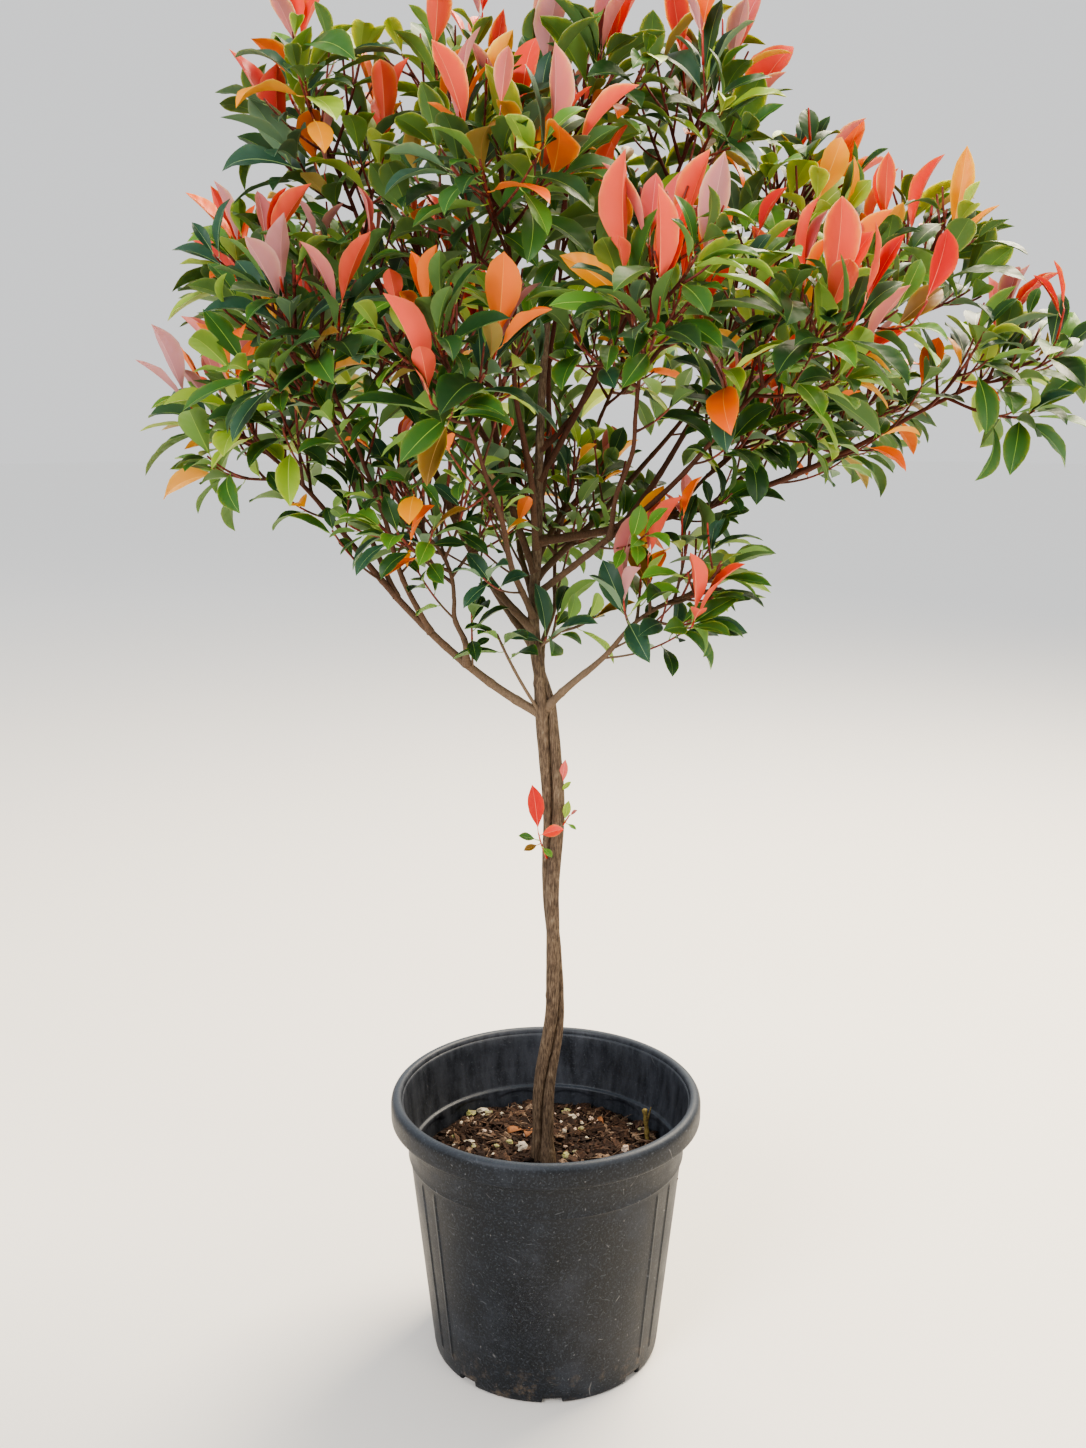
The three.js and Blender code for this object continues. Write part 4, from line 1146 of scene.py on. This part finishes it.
def hasRoom(points, reach, owner):
    n = crowd["count"]
    middle = points.mean(axis=0)
    spread = np.abs(points - middle).max() + 22
    near = (np.abs(crowd["points"][:n] - middle) < spread).all(axis=1) & (crowd["owner"][:n] != owner)
    if not near.any():
        return True
    others = crowd["points"][:n][near]
    gaps = np.linalg.norm(points[:, None] - others[None], axis=2) - crowd["reach"][:n][near]
    return gaps.min() > reach


boxLow, boxHigh = [np.array(list(corner)) / mm for corner in (cadLow, cadHigh)]


def insideSpace(points, index, stray, reach=1.0):
    mass = masses[index]
    if (np.linalg.norm((points - mass["centre"]) / mass["radii"], axis=1) > reach).any():
        return False
    if (points < boxLow + 4).any() or (points > boxHigh + growth["overBox"]).any():
        return False
    claims = ((points[:, None] - centres[None]) ** 2).sum(axis=2) - meanRadii ** 2
    spare = claims - claims[:, index][:, None]
    spare[:, index] = 1e9
    apart = np.linalg.norm(centres - mass["centre"], axis=1)
    return bool((spare > -2 * stray * apart).all())


def reachAlong(start, direction, mass):
    scaledFrom = (start - mass["centre"]) / mass["radii"]
    scaledWay = direction / mass["radii"]
    a, b, c = scaledWay @ scaledWay, scaledFrom @ scaledWay, scaledFrom @ scaledFrom - 1
    return (-b + math.sqrt(max(b * b - a * c, 0))) / a


def limbsInTheWay():
    # the trunk and boughs are in the crowd from the start, so that no leaf or twig touches them
    stem = throughPoints(trunkLine, 110)
    settle(stem, np.where(stem[:, 2] < trunk["mergeHeight"], *growth["trunkRoom"]), limb)
    for mass in masses:
        if mass["bough"] is not None:
            settle(mass["bough"][::3], growth["boughRoom"], limb)


def twigControls(start, heading, length):
    return [start, start + heading * length * growth["bend"],
            start + heading * length * growth["end"] + up * length * growth["lift"]]


def wayAt(controls, share):
    a, b, c = controls
    return unit(2 * (1 - share) * (b - a) + 2 * share * (c - b))


shoots = []


def newShoot(index, controls, radii, level, fresh):
    length = np.linalg.norm(controls[1] - controls[0]) + np.linalg.norm(controls[2] - controls[1])
    shoot = {"mass": index, "controls": controls, "radii": radii, "length": length, "level": level,
             "fresh": fresh, "id": len(shoots)}
    shoots.append(shoot)
    settle(bezier(controls, np.linspace(0.12, 1, max(4, int(length / 7)))), radii[0], shoot["id"])
    return shoot


def tryTwig(index, start, heading, length, stray):
    for part in growth["shorter"]:
        controls = twigControls(start, heading, length * part)
        points = bezier(controls, np.linspace(0.3, 1, 6))
        if insideSpace(points, index, stray) and hasRoom(points, growth["twigRoom"], nobody):
            return controls
    return None


def growWood(index):
    mass = masses[index]
    roll = dice(1000 + 41 * index + 7)
    isShoot = "leaf" in mass
    isInner = mass["name"] in inner
    leaf = mass.get("leaf", leafSizes["inner" if isInner else "outer"])
    newShoot(index, mass["stem"], mass["stemRadii"], 0, False)
    count = mass.get("twigs", growth["innerTwigs" if isInner else "mainTwigs"])
    freshShare = growth["innerFreshShare" if isInner else "freshShare"]
    for k in range(count):
        climb = k / (count - 1)
        share = blend(growth["firstTwig"], growth["lastTwig"], climb)
        start = bezier(mass["stem"], [share])[0]
        spin = growth["turn"] * k + growth["turnSpread"] * (roll() - 0.5)
        tilt = blend(growth["baseAngle"], growth["tipAngle"], climb)
        tilt += growth["angleSpread"] * (roll() - 0.5)
        heading = unit(turned(wayAt(mass["stem"], share), tilt, spin) + up * growth["twigRise"])
        fresh = roll() < freshShare
        room = growth["leafRoom"] + growth["freshRoom"] * fresh
        free = reachAlong(start, heading, mass) - leaf * room
        wanted = max(free * blend(growth["leastReach"], 1, roll()), leaf * growth["shortest"])
        controls = tryTwig(index, start, heading, wanted, 0)
        if controls is None:
            continue
        twig = newShoot(index, controls, growth["twigRadii"], 1, fresh)
        if isShoot:
            continue
        for n, (at, part) in enumerate(growth["sideShoots"]):
            way = wayAt(controls, at)
            leaning = growth["sideAngle"] + growth["sideSpread"] * (roll() - 0.5)
            around = spin + growth["turn"] * (n + 1) + growth["sideTurnSpread"] * (roll() - 0.5)
            side = turned(way, leaning, around)
            side = unit(side + up * growth["sideRise"])
            length = twig["length"] * part * blend(*growth["sideLengths"], roll())
            chance = roll()
            if length < growth["shortestSide"]:
                continue
            branch = tryTwig(index, bezier(controls, [at])[0], side, length, 6)
            if branch is not None:
                freshSide = chance < freshShare * growth["sideFreshShare"]
                newShoot(index, branch, growth["sideRadii"], 2, freshSide)


allRadii = np.array([mass["radii"] for mass in masses])


def insideCrown(points):
    shares = np.linalg.norm((points[:, None] - centres[None]) / allRadii[None], axis=2)
    return bool((shares.min(axis=1) < 1.0).all())


def growSpurs(index, line, first, last, seed):
    # short twigs with small leaves, straight from a limb, wherever the crown has room for them
    roll = dice(seed)
    lengths = lengthsAlong(line)
    along = lengths[-1] * first
    while along < lengths[-1] * last:
        k = max(1, int(np.searchsorted(lengths, along)))
        start, way = line[k - 1], unit(line[k] - line[k - 1])
        heading = turned(way, blend(*growth["spurTilt"], roll()), 360 * roll())
        heading = unit(heading + up * growth["spurRise"])
        controls = twigControls(start, heading, blend(*growth["spurLength"], roll()))
        points = bezier(controls, np.linspace(0.35, 1, 6))
        if insideCrown(points) and hasRoom(points, growth["twigRoom"], nobody):
            newShoot(index, controls, growth["spurRadii"], 3, roll() < growth["spurFreshShare"])
        along += blend(*growth["spurGap"], roll())


limbsInTheWay()
for massIndex in range(len(masses)):
    growWood(massIndex)
for massIndex, massRow in enumerate(masses):
    if massRow["bough"] is not None:
        growSpurs(massIndex, massRow["bough"], *growth["spurLimits"], 9000 + massIndex)
leader = throughPoints(trunkLine, 160)
growSpurs([row[0] for row in crownRows].index("top_mid"), leader[leader[:, 2] > 880], 0, 1, 9900)
print("shoots grown:", len(shoots), "fresh", sum(s["fresh"] for s in shoots))


# Leaves

leafShape = {
    "rows": 12,
    "slant": 0.11,  # share of the length by which the side veins run forward
    "quilt": 0.8,  # mm between vein and blade
    "groove": 0.45,
    "keel": 0.9,
    "thickness": 0.4,
    "petiole": 0.13,
    "petioleRadius": 0.85,
}

outlineShares = np.array([0, 0.05, 0.13, 0.24, 0.36, 0.48, 0.58, 0.68, 0.78, 0.86, 0.92, 0.965, 1.0])
outlineWidths = np.array([0.03, 0.11, 0.3, 0.59, 0.84, 0.98, 1.0, 0.93, 0.76, 0.52, 0.29, 0.12, 0.012])

leafTints = {
    # upper face, underside (richer than its own paler green: a painted glow of light through the leaf),
    # midrib, translucent share
    "deepGreen": ("#24401f", "#587442", "#7d9848", 0.14),
    "darkGreen": ("#2c4b24", "#5f7d45", "#89a34e", 0.16),
    # a blue-grey green that is a painted reflection: the sky's glare on waxy leaves, dealt out like a tint
    "paintedGlareGreen": ("#30503a", "#6b8666", "#93ab6e", 0.14),
    "midGreen": ("#3e642b", "#70924b", "#9ab650", 0.2),
    "brightGreen": ("#5a8433", "#8aa850", "#b2c85e", 0.24),
    "limeGreen": ("#8aa53b", "#a9be5b", "#c6d370", 0.28),
    "bronze": ("#7a5a26", "#a68f52", "#b98f52", 0.3),
    "amber": ("#ea9526", "#eaa548", "#f4bc5e", 0.22),
    "orange": ("#e76626", "#ea7a3a", "#f49c50", 0.22),
    "coral": ("#df4530", "#e05f4a", "#f0906c", 0.22),
    "scarlet": ("#c22a23", "#ca453b", "#e67660", 0.22),
    "rose": ("#cf615a", "#cd7a73", "#e8a296", 0.22),
    "mauve": ("#ad615f", "#bd8584", "#d9a098", 0.22),
}

# the third green is painted glare, not a leaf colour of its own
greens = ["deepGreen", "darkGreen", "paintedGlareGreen", "midGreen", "brightGreen", "limeGreen"]
greenShares = {"outer": (0.12, 0.24, 0.14, 0.26, 0.16, 0.08), "inner": (0.22, 0.3, 0.16, 0.2, 0.09, 0.03)}
freshKinds = [("coral", 0.31), ("scarlet", 0.14), ("orange", 0.16), ("rose", 0.17), ("mauve", 0.16),
              ("amber", 0.06)]


def leafMaterials():
    # living leaf: a waxy, leathery face that mirrors the sky softly, matt and paler beneath, where its tint
    # is richer as a painted glow of light through the leaf, and lit through when the light is behind it.
    # Each spray is dealt one plain tint.
    made, names = [], []
    for name, (upper, under, rib, through) in leafTints.items():
        looks = (("WaxyFace", upper, 0.42, 0.3, through), ("UndersideWithPaintedGlow", under, 0.55, 0.25, through),
                 ("Midrib", rib, 0.4, 0.4, through))
        for part, colour, roughness, specular, share in looks:
            material, _, _ = newMaterial(name + part, {
                "Base Color": linear(colour), "Roughness": roughness, "IOR": 1.45,
                "Specular IOR Level": specular, "Subsurface Weight": share,
                "Subsurface Radius": (1.0, 0.8, 0.25), "Subsurface Scale": 1.2 * mm,
            })
            made.append(material)
            names.append((name, part))
    return made, {name: k for k, name in enumerate(names)}


materialsOfLeaves, lookOf = leafMaterials()

columns = np.array([-1, -0.54, -0.05, 0.05, 0.54, 1.0])


def leafFaces():
    # both faces are cut into the same triangles, so that they meet only along the rim; the first
    # row is cut the other way, because three corners of a triangle on the rim would close on itself
    rows = leafShape["rows"]
    upper = np.arange((rows + 1) * 6).reshape(rows + 1, 6)
    lower = upper.copy()
    lower[1:-1, 1:-1] = (rows + 1) * 6 + np.arange((rows - 1) * 4).reshape(rows - 1, 4)
    tris, parts = [], []
    for grid, flip in ((upper, False), (lower, True)):
        for j in range(5):
            a, b, c, d = grid[:-1, j], grid[:-1, j + 1], grid[1:, j + 1], grid[1:, j]
            leansRight = (np.arange(rows) > 0) == (j > 2)
            for one, other in (((a, b, c), (a, b, d)), ((a, c, d), (b, c, d))):
                face = np.where(leansRight[:, None], np.stack(one, axis=1), np.stack(other, axis=1))
                tris.append(face[:, ::-1] if flip else face)
                parts.append(np.full(rows, 2 if j == 2 else int(flip)))
    rim = np.zeros(lower.max() + 1, bool)
    rim[upper[:, [0, 5]].ravel()] = True
    rim[upper[[0, -1]].ravel()] = True
    return np.concatenate(tris), np.concatenate(parts), rim


leafTris, leafParts, leafRim = leafFaces()


def leafPoints(length, width, fold, rise, fall, curl, twist, wave, phase):
    # local: across, along, out of the upper face
    rows = leafShape["rows"]
    t0 = np.linspace(0, 1, rows + 1)
    t = t0[:, None] + leafShape["slant"] * 4 * (t0 * (1 - t0))[:, None] * np.abs(columns)[None]
    angle = rise + (fall - rise) * t0 ** 1.35
    stepLength = length / rows
    middle = (angle[1:] + angle[:-1]) / 2
    lineAlong = np.concatenate([[0], np.cumsum(np.cos(middle))]) * stepLength
    lineOut = np.concatenate([[0], np.cumsum(np.sin(middle))]) * stepLength
    half = np.interp(t, outlineShares, outlineWidths) * width / 2
    tooth = np.where(np.arange(rows + 1) % 2 == 0, 1.0, 0.972)[:, None]
    x = columns[None] * half
    x[:, [0, 5]] *= tooth
    ribHalf = (0.7 - 0.6 * t0) * length / 90
    x[:, 2], x[:, 3] = -ribHalf, ribHalf
    x = np.clip(x, -half, half)
    x[:, 1] = np.minimum(x[:, 1], x[:, 2] - 0.01)
    x[:, 4] = np.maximum(x[:, 4], x[:, 3] + 0.01)
    x[:, 0] = np.minimum(x[:, 0], x[:, 1] - 0.01)
    x[:, 5] = np.maximum(x[:, 5], x[:, 4] + 0.01)
    lifted = np.abs(x) * math.sin(fold) - curl * x ** 2 / (width / 2)
    quilt = np.where(np.arange(rows + 1) % 2 == 0, -1.0, 1.0) * leafShape["quilt"] * length / 90
    fade = 4 * t0 * (1 - t0)
    lifted[:, 1] += quilt * fade
    lifted[:, 4] += quilt * fade
    lifted[:, 2:4] -= (leafShape["groove"] * (1 - 0.7 * t0) * fade)[:, None]
    ripple = np.sin(2 * math.pi * 2.3 * t + phase + np.where(columns < 0, 0, 1.3))
    lifted += wave * ripple * (x / (width / 2)) ** 2
    spread = x * math.cos(fold)
    turn = twist * (t - 0.3)
    across = spread * np.cos(turn) - lifted * np.sin(turn)
    out = spread * np.sin(turn) + lifted * np.cos(turn)
    lean = np.interp(t, t0, angle)
    along = np.interp(t, t0, lineAlong) - out * np.sin(lean)
    high = np.interp(t, t0, lineOut) + out * np.cos(lean)
    upperFace = np.stack([across, along, high], axis=2)
    depth = np.full((rows - 1, 4), leafShape["thickness"])
    depth[:, 1:3] += leafShape["keel"] * (1 - 0.75 * t0[1:-1])[:, None]
    lowerFace = upperFace[1:-1, 1:-1].copy()
    lowerFace[:, :, 1] += depth * np.sin(lean[1:-1, 1:-1])
    lowerFace[:, :, 2] -= depth * np.cos(lean[1:-1, 1:-1])
    return np.concatenate([upperFace.reshape(-1, 3), lowerFace.reshape(-1, 3)])


def stalkFaces():
    around = [(k, (k + 1) % 5, (k + 1) % 5 + 5, k + 5) for k in range(5)]
    quads = [[point + row for point in face] for row in (0, 5) for face in around]
    ends = [(4, 3, 2), (4, 2, 1), (4, 1, 0), (14, 10, 11), (14, 11, 12), (14, 12, 13)]
    return np.array(quads)[:, ::-1], np.array(ends)[:, ::-1]


stalkQuads, stalkEnds = stalkFaces()


def addLeaf(heap, place, tint):
    # place: where it leaves the shoot, its heading, the way its upper face looks, and its shape
    origin, heading, face, shape = place
    face = unit(face - (face @ heading) * heading)
    across = np.cross(heading, face)
    frameOf = np.stack([across, heading, face])
    stalk = shape.get("stalk", leafShape["petiole"] * shape["length"])
    local = leafPoints(**{key: value for key, value in shape.items() if key != "stalk"})
    looks = [lookOf[(tint, part)] for part in ("WaxyFace", "UndersideWithPaintedGlow", "Midrib")]
    bladeRoot = origin + heading * stalk
    heap.add(local @ frameOf + bladeRoot, None, np.array(looks)[leafParts], leafTris, leafRim)
    radius = max(leafShape["petioleRadius"] * shape["length"] / 90, 0.5)
    angles = np.arange(5) * 2 * math.pi / 5
    ring = np.cos(angles)[:, None] * across + np.sin(angles)[:, None] * face
    tube = []
    for share, thick in ((0, 1.25), (0.5, 0.95), (1.08, 0.7)):
        sag = -0.06 * stalk * math.sin(math.pi * min(share, 1))
        centre = origin + heading * stalk * share + face * (sag - radius * 0.5 * share)
        tube.append(centre + radius * thick * ring)
    heap.add(np.concatenate(tube), stalkQuads, looks[2], stalkEnds)


def leafTouches(origin, heading, face, length, width):
    # points over the blade, to see what it would meet
    face = unit(face - (face @ heading) * heading)
    across = np.cross(heading, face)
    shares = np.array([0.35, 0.55, 0.78, 1.0, 1.12])
    spine = origin + heading * (shares * length)[:, None] + face * (-0.1 * length * shares ** 2)[:, None]
    edges = np.array([spine[1] + across * width * 0.42, spine[1] - across * width * 0.42,
                      spine[2] + across * width * 0.36, spine[2] - across * width * 0.36])
    return np.vstack([spine, edges])


def pick(roll, kinds, otherwise):
    value = roll()
    for name, share in kinds:
        value -= share
        if value < 0:
            return name
    return otherwise


def pickGreen(roll, kind):
    return pick(roll, zip(greens, greenShares[kind]), "darkGreen")


def pickFresh(roll):
    return pick(roll, freshKinds, "coral")


leafPose = {
    "fold": (12, 30),  # degrees
    "fall": (18, 62),
    "rise": (2, 14),
    "twist": (-22, 22),
    "lean": (-22, 22),
    "curl": (0.02, 0.16),
    "wave": (0.01, 0.045),  # of the width
    "freshFold": 1.6,
    "freshFall": 0.55,
    "clearance": 4.6,
}

leafTally = {"green": 0, "fresh": 0}


def placeLeaf(heap, shoot, share, controls, tilt, spin, length, ratio, tint, roll, fresh):
    index = shoot["mass"]
    width = length * ratio
    origin, way = bezier(controls, [share])[0], wayAt(controls, share)
    fold = math.radians(blend(*leafPose["fold"], roll()))
    fall = -math.radians(blend(*leafPose["fall"], roll()))
    rise = math.radians(blend(*leafPose["rise"], roll()))
    curl = blend(*leafPose["curl"], roll())
    twist = math.radians(blend(*leafPose["twist"], roll()))
    lean = math.radians(blend(*leafPose["lean"], roll()))
    wave = width * blend(*leafPose["wave"], roll())
    phase = roll() * 6.28
    if fresh:
        fold, fall = fold * leafPose["freshFold"], fall * leafPose["freshFall"]
    for size, swing, drop in freshTries if fresh else firmTries:
        heading = turned(way, tilt + drop, spin + swing)
        if abs(heading @ up) > 0.985:
            heading = unit(heading + vec(0.2, 0.1, 0))
        face = way + up * 0.8
        face = unit(face - (face @ heading) * heading)
        across = np.cross(heading, face)
        face = face * math.cos(lean) + across * math.sin(lean)
        points = leafTouches(origin, heading, face, length * size, width * size)
        if shoot["level"] == 3:
            inReach = insideCrown(points)
        elif "leaf" in masses[index]:
            inReach = insideSpace(points, index, growth["trunkStray"], growth["trunkReach"])
        else:
            inReach = insideSpace(points, index, growth["strayOut"], growth["freshReach"] if fresh else 1.0)
        if not inReach or not hasRoom(points, leafPose["clearance"], shoot["id"]):
            continue
        shape = {"length": length * size, "width": width * size, "fold": fold, "rise": rise, "fall": fall,
                 "curl": curl, "twist": twist, "wave": wave * size, "phase": phase}
        addLeaf(heap, (origin, heading, face, shape), tint)
        settle(points, leafPose["clearance"], shoot["id"])
        leafTally["fresh" if fresh else "green"] += 1
        return


# share of the length, degrees of swing and of droop that are tried in turn until a leaf has room
firmTries = ((1, 0, 0), (1, 24, 6), (1, -24, 6), (0.85, 40, 12), (0.85, -40, 12), (0.72, 0, 20),
             (0.66, 60, 15), (0.8, 90, 0), (0.8, -110, 6), (0.66, 165, 0), (0.55, -60, -10))
freshTries = ((1, 0, 0), (1, 30, 0), (1, -30, 4), (0.86, 0, 8), (0.86, 70, 0), (0.72, 50, 4),
              (0.62, -60, 8))


spray = {
    # from the shoot's tip back
    "counts": (7, 8, 6, 6),  # by the shoot's level
    "countOnTrunk": 5,
    "sizes": (0.84, 1.0, 1.06, 1.02, 0.95, 0.88, 0.8, 0.72),
    "sizeSpread": (0.82, 1.18),
    "tilts": (24, 34, 44, 52, 60, 66, 72, 76),
    "tiltSpread": 14,
    "firstGap": 4.5,
    "gapGrowth": 1.28,
    "belowTip": 3.0,
    "belowFlush": 7.0,
    "barePart": 0.3,  # share of the shoot, at its foot
    "heights": (840, 1200),  # between which the leaves get larger
    "sizesByHeight": (0.86, 1.05),
    "sameTint": 0.72,
    "autumnTints": (("amber", 0.016), ("orange", 0.036), ("bronze", 0.05)),  # odd leaves, shares added up
    "ratio": (0.37, 0.48),
    "widerInside": 0.06,
}


def leafOut(shoot, heap, freshWood):
    mass = masses[shoot["mass"]]
    roll = dice(20000 + 13 * shoot["id"])
    small = mass.get("leaf")
    isInner = mass["name"] in inner or shoot["level"] in (0, 3)
    kind = "inner" if isInner else "outer"
    low, high = spray["heights"]
    lifted = min(max((shoot["controls"][2][2] - low) / (high - low), 0), 1)
    usual = leafSizes["spur" if shoot["level"] == 3 else kind]
    base = small or usual * blend(*spray["sizesByHeight"], lifted)
    tintOfSpray = pickGreen(roll, kind)
    controls = shoot["controls"]
    tip = controls[2]
    way = wayAt(controls, 1.0)
    spin = 360 * roll()
    if shoot["fresh"]:
        freshLeaves(shoot, heap, freshWood, tip, way, base, roll)
    count = spray["countOnTrunk"] if small else spray["counts"][shoot["level"]]
    distance = spray["belowFlush" if shoot["fresh"] else "belowTip"]
    gap = spray["firstGap"]
    for k in range(count):
        share = 1 - distance / shoot["length"]
        if share < spray["barePart"]:
            break
        length = base * spray["sizes"][k] * blend(*spray["sizeSpread"], roll())
        tilt = spray["tilts"][k] + spray["tiltSpread"] * (roll() - 0.5)
        tint = tintOfSpray if roll() < spray["sameTint"] else pickGreen(roll, kind)
        odd = roll()
        tint = next((name for name, limit in spray["autumnTints"] if odd < limit), tint)
        ratio = blend(*spray["ratio"], roll()) + spray["widerInside"] * isInner
        placeLeaf(heap, shoot, share, controls, tilt, spin, length, ratio, tint, roll, False)
        spin += growth["turn"] + 16 * (roll() - 0.5)
        distance += gap
        gap *= spray["gapGrowth"]


flush = {
    "rise": (0.25, 0.8),
    "stemLength": (0.14, 0.42),  # of a leaf
    "stemRadius": 1.5,
    "sizes": (1.14, 1.0, 0.8),
    "sizeSpread": (0.8, 1.14),
    "tilts": (10, 21, 36),
    "sameTint": 0.6,
    "ratio": (0.33, 0.52),
}


def freshLeaves(shoot, heap, freshWood, tip, way, base, roll):
    # a flush of this year: a stout red stem with two or three upright leaves
    way = unit(way + up * blend(*flush["rise"], roll()))
    length = base * blend(*flush["stemLength"], roll())
    controls = [tip, tip + way * length * 0.5, tip + unit(way + up * 0.2) * length]
    tint = pickFresh(roll)
    radius = flush["stemRadius"] * base / 88
    stem = bezier(controls, np.linspace(-0.02, 1, 7))
    addLimb(freshWood, stem, np.linspace(radius * 1.1, radius * 0.75, 7), 7, 1)
    spin = 360 * roll()
    count = 2 + int(roll() * 1.9)
    for k in range(count):
        share = 1 - 0.16 * k
        size = base * flush["sizes"][k] * blend(*flush["sizeSpread"], roll())
        tilt = flush["tilts"][k] + 10 * (roll() - 0.5)
        mate = tint if roll() < flush["sameTint"] else pickFresh(roll)
        ratio = blend(*flush["ratio"], roll())
        placeLeaf(heap, shoot, share, controls, tilt, spin, size, ratio, mate, roll, True)
        spin += growth["turn"] + 20 * (roll() - 0.5)


trunkLeaves = [
    # foot, tip, width to length, stalk, tint: the young leaves that the photograph shows on the trunk
    ((-7.5, -24, 583), (-12.5, -31, 636), 0.4, 8, "scarlet"),
    ((-7.5, -24, 582), (17, -36, 593), 0.54, 4, "coral"),
    ((-6.4, -21, 576), (-27, -32, 585), 0.5, 6, "midGreen"),
    ((-4.8, -18, 569), (6, -34, 563), 0.5, 4, "brightGreen"),
    ((-5.5, -19.5, 572), (-22, -34, 570), 0.46, 5, "bronze"),
    ((14.5, -1, 626), (20, -6, 656), 0.34, 4, "rose"),
    ((13.6, -1.6, 621), (25, -8, 634), 0.4, 4, "limeGreen"),
    ((18.6, -3.4, 589), (23, -10, 614), 0.42, 5, "limeGreen"),
    ((23.6, -5.8, 597), (31, -14, 606), 0.4, 3, "mauve"),
    ((19.4, -3.7, 590), (31, -12, 585), 0.45, 4, "brightGreen"),
]
trunkStems = [
    ((1, -6, 552), (-4, -17, 566), (-7.5, -24, 584)),
    ((9, -2, 610), (13, -2, 618), (14.5, -1, 627)),
    ((9, 0, 572), (16, -2, 584), (24, -6, 598)),
]


def sproutOnTrunk(heap, wood):
    roll = dice(31)
    for stem in trunkStems:
        addLimb(wood, bezier([vec(*p) for p in stem], np.linspace(0, 1, 8)), np.linspace(1.2, 0.7, 8), 7, 1)
    for foot, tip, ratio, stalk, tint in trunkLeaves:
        foot, tip = vec(*foot), vec(*tip)
        length = np.linalg.norm(tip - foot) - stalk
        face = unit(vec(0.1, -0.75, 0.65) + 0.3 * vec(roll() - 0.5, 0, roll() - 0.5))
        shape = {"length": length, "width": length * ratio, "fold": 0.3, "rise": 0.08, "fall": -0.35,
                 "curl": 0.08, "twist": 0.2 * (roll() - 0.5), "wave": length * 0.01, "phase": roll() * 6,
                 "stalk": stalk}
        addLeaf(heap, (foot, unit(tip - foot), face, shape), tint)


def youngWood(name, tones, roughness):
    # a shoot of this year or the last, still without bark: smooth and a little shiny, red where
    # the sun has reached it; the real breathing pores are 0.5 mm, drawn as flecks of 3 mm that show
    material, tree, shader = newMaterial(name, {
        "Roughness": roughness, "Specular IOR Level": 0.5,
        "Subsurface Weight": 0.15, "Subsurface Radius": (1.0, 0.3, 0.2), "Subsurface Scale": 1.0 * mm,
    })
    place = addNode(tree, "TexCoord").outputs["Object"]
    drawn = addNode(tree, "Mapping", {"Scale": (1.0, 1.0, 0.4)}, {"Vector": place})
    flecks = cloudsOf(tree, drawn, 3.1, 3.0, 0.6)
    tint = addNode(tree, "ValToRGB", {"stops": tones}, {"Fac": flecks})
    tree.links.new(tint.outputs["Color"], shader.inputs["Base Color"])
    roughen(tree, shader, flecks, 0.35, 0.3)
    return material


def dressMasses():
    stems = [woodBark,
             youngWood("softRedShoot", [(0.34, "#8a2018"), (0.52, "#a82d20"), (0.68, "#bf4a33")], 0.38),
             youngWood("lastYearsTwig", [(0.34, "#4f2018"), (0.52, "#742b1f"), (0.68, "#8f4a35")], 0.5)]
    leafHeaps = {k: Heap() for k in range(len(masses))}
    twigHeaps = {k: Heap() for k in range(len(masses))}
    sprout = next(k for k, mass in enumerate(masses) if mass["name"] == "trunk_sprout")
    sproutOnTrunk(leafHeaps[sprout], twigHeaps[sprout])
    shoots[:] = [shoot for shoot in shoots if shoot["mass"] != sprout]
    for shoot in shoots:
        controls = shoot["controls"]
        steps = max(6, int(shoot["length"] / 7))
        shares = np.linspace(-0.02 if shoot["level"] == 0 else 0.0, 1, steps + 1)
        points = bezier(controls, shares)
        lengths = shares * shoot["length"]
        radii = blend(shoot["radii"][0], shoot["radii"][1], np.clip(shares, 0, 1))
        if shoot["level"]:
            radii = radii * (1 + 0.35 * np.exp(-(lengths / 3) ** 2))
        nodes = 1 + 0.16 * np.maximum(0, np.sin(lengths / 2.2 + shoot["id"])) ** 8
        looks = np.where(shares > (1.1, 0.5, 0.12, 0.4)[shoot["level"]], 2, 0)
        addLimb(twigHeaps[shoot["mass"]], points, radii * nodes, 8 if shoot["level"] == 0 else 6, looks)
    order = sorted(shoots, key=lambda shoot: (not shoot["fresh"], shoot["level"] == 0, shoot["id"]))
    for shoot in order:
        leafOut(shoot, leafHeaps[shoot["mass"]], twigHeaps[shoot["mass"]])
    for index, mass in enumerate(masses):
        node = "foliage_" + mass["name"]
        makePiece("twigs_" + mass["name"], twigHeaps[index], stems, [node])
        makePiece("leaves_" + mass["name"], leafHeaps[index], materialsOfLeaves, [node])
    print("leaves:", leafTally)


dressMasses()
print("crown dressed")
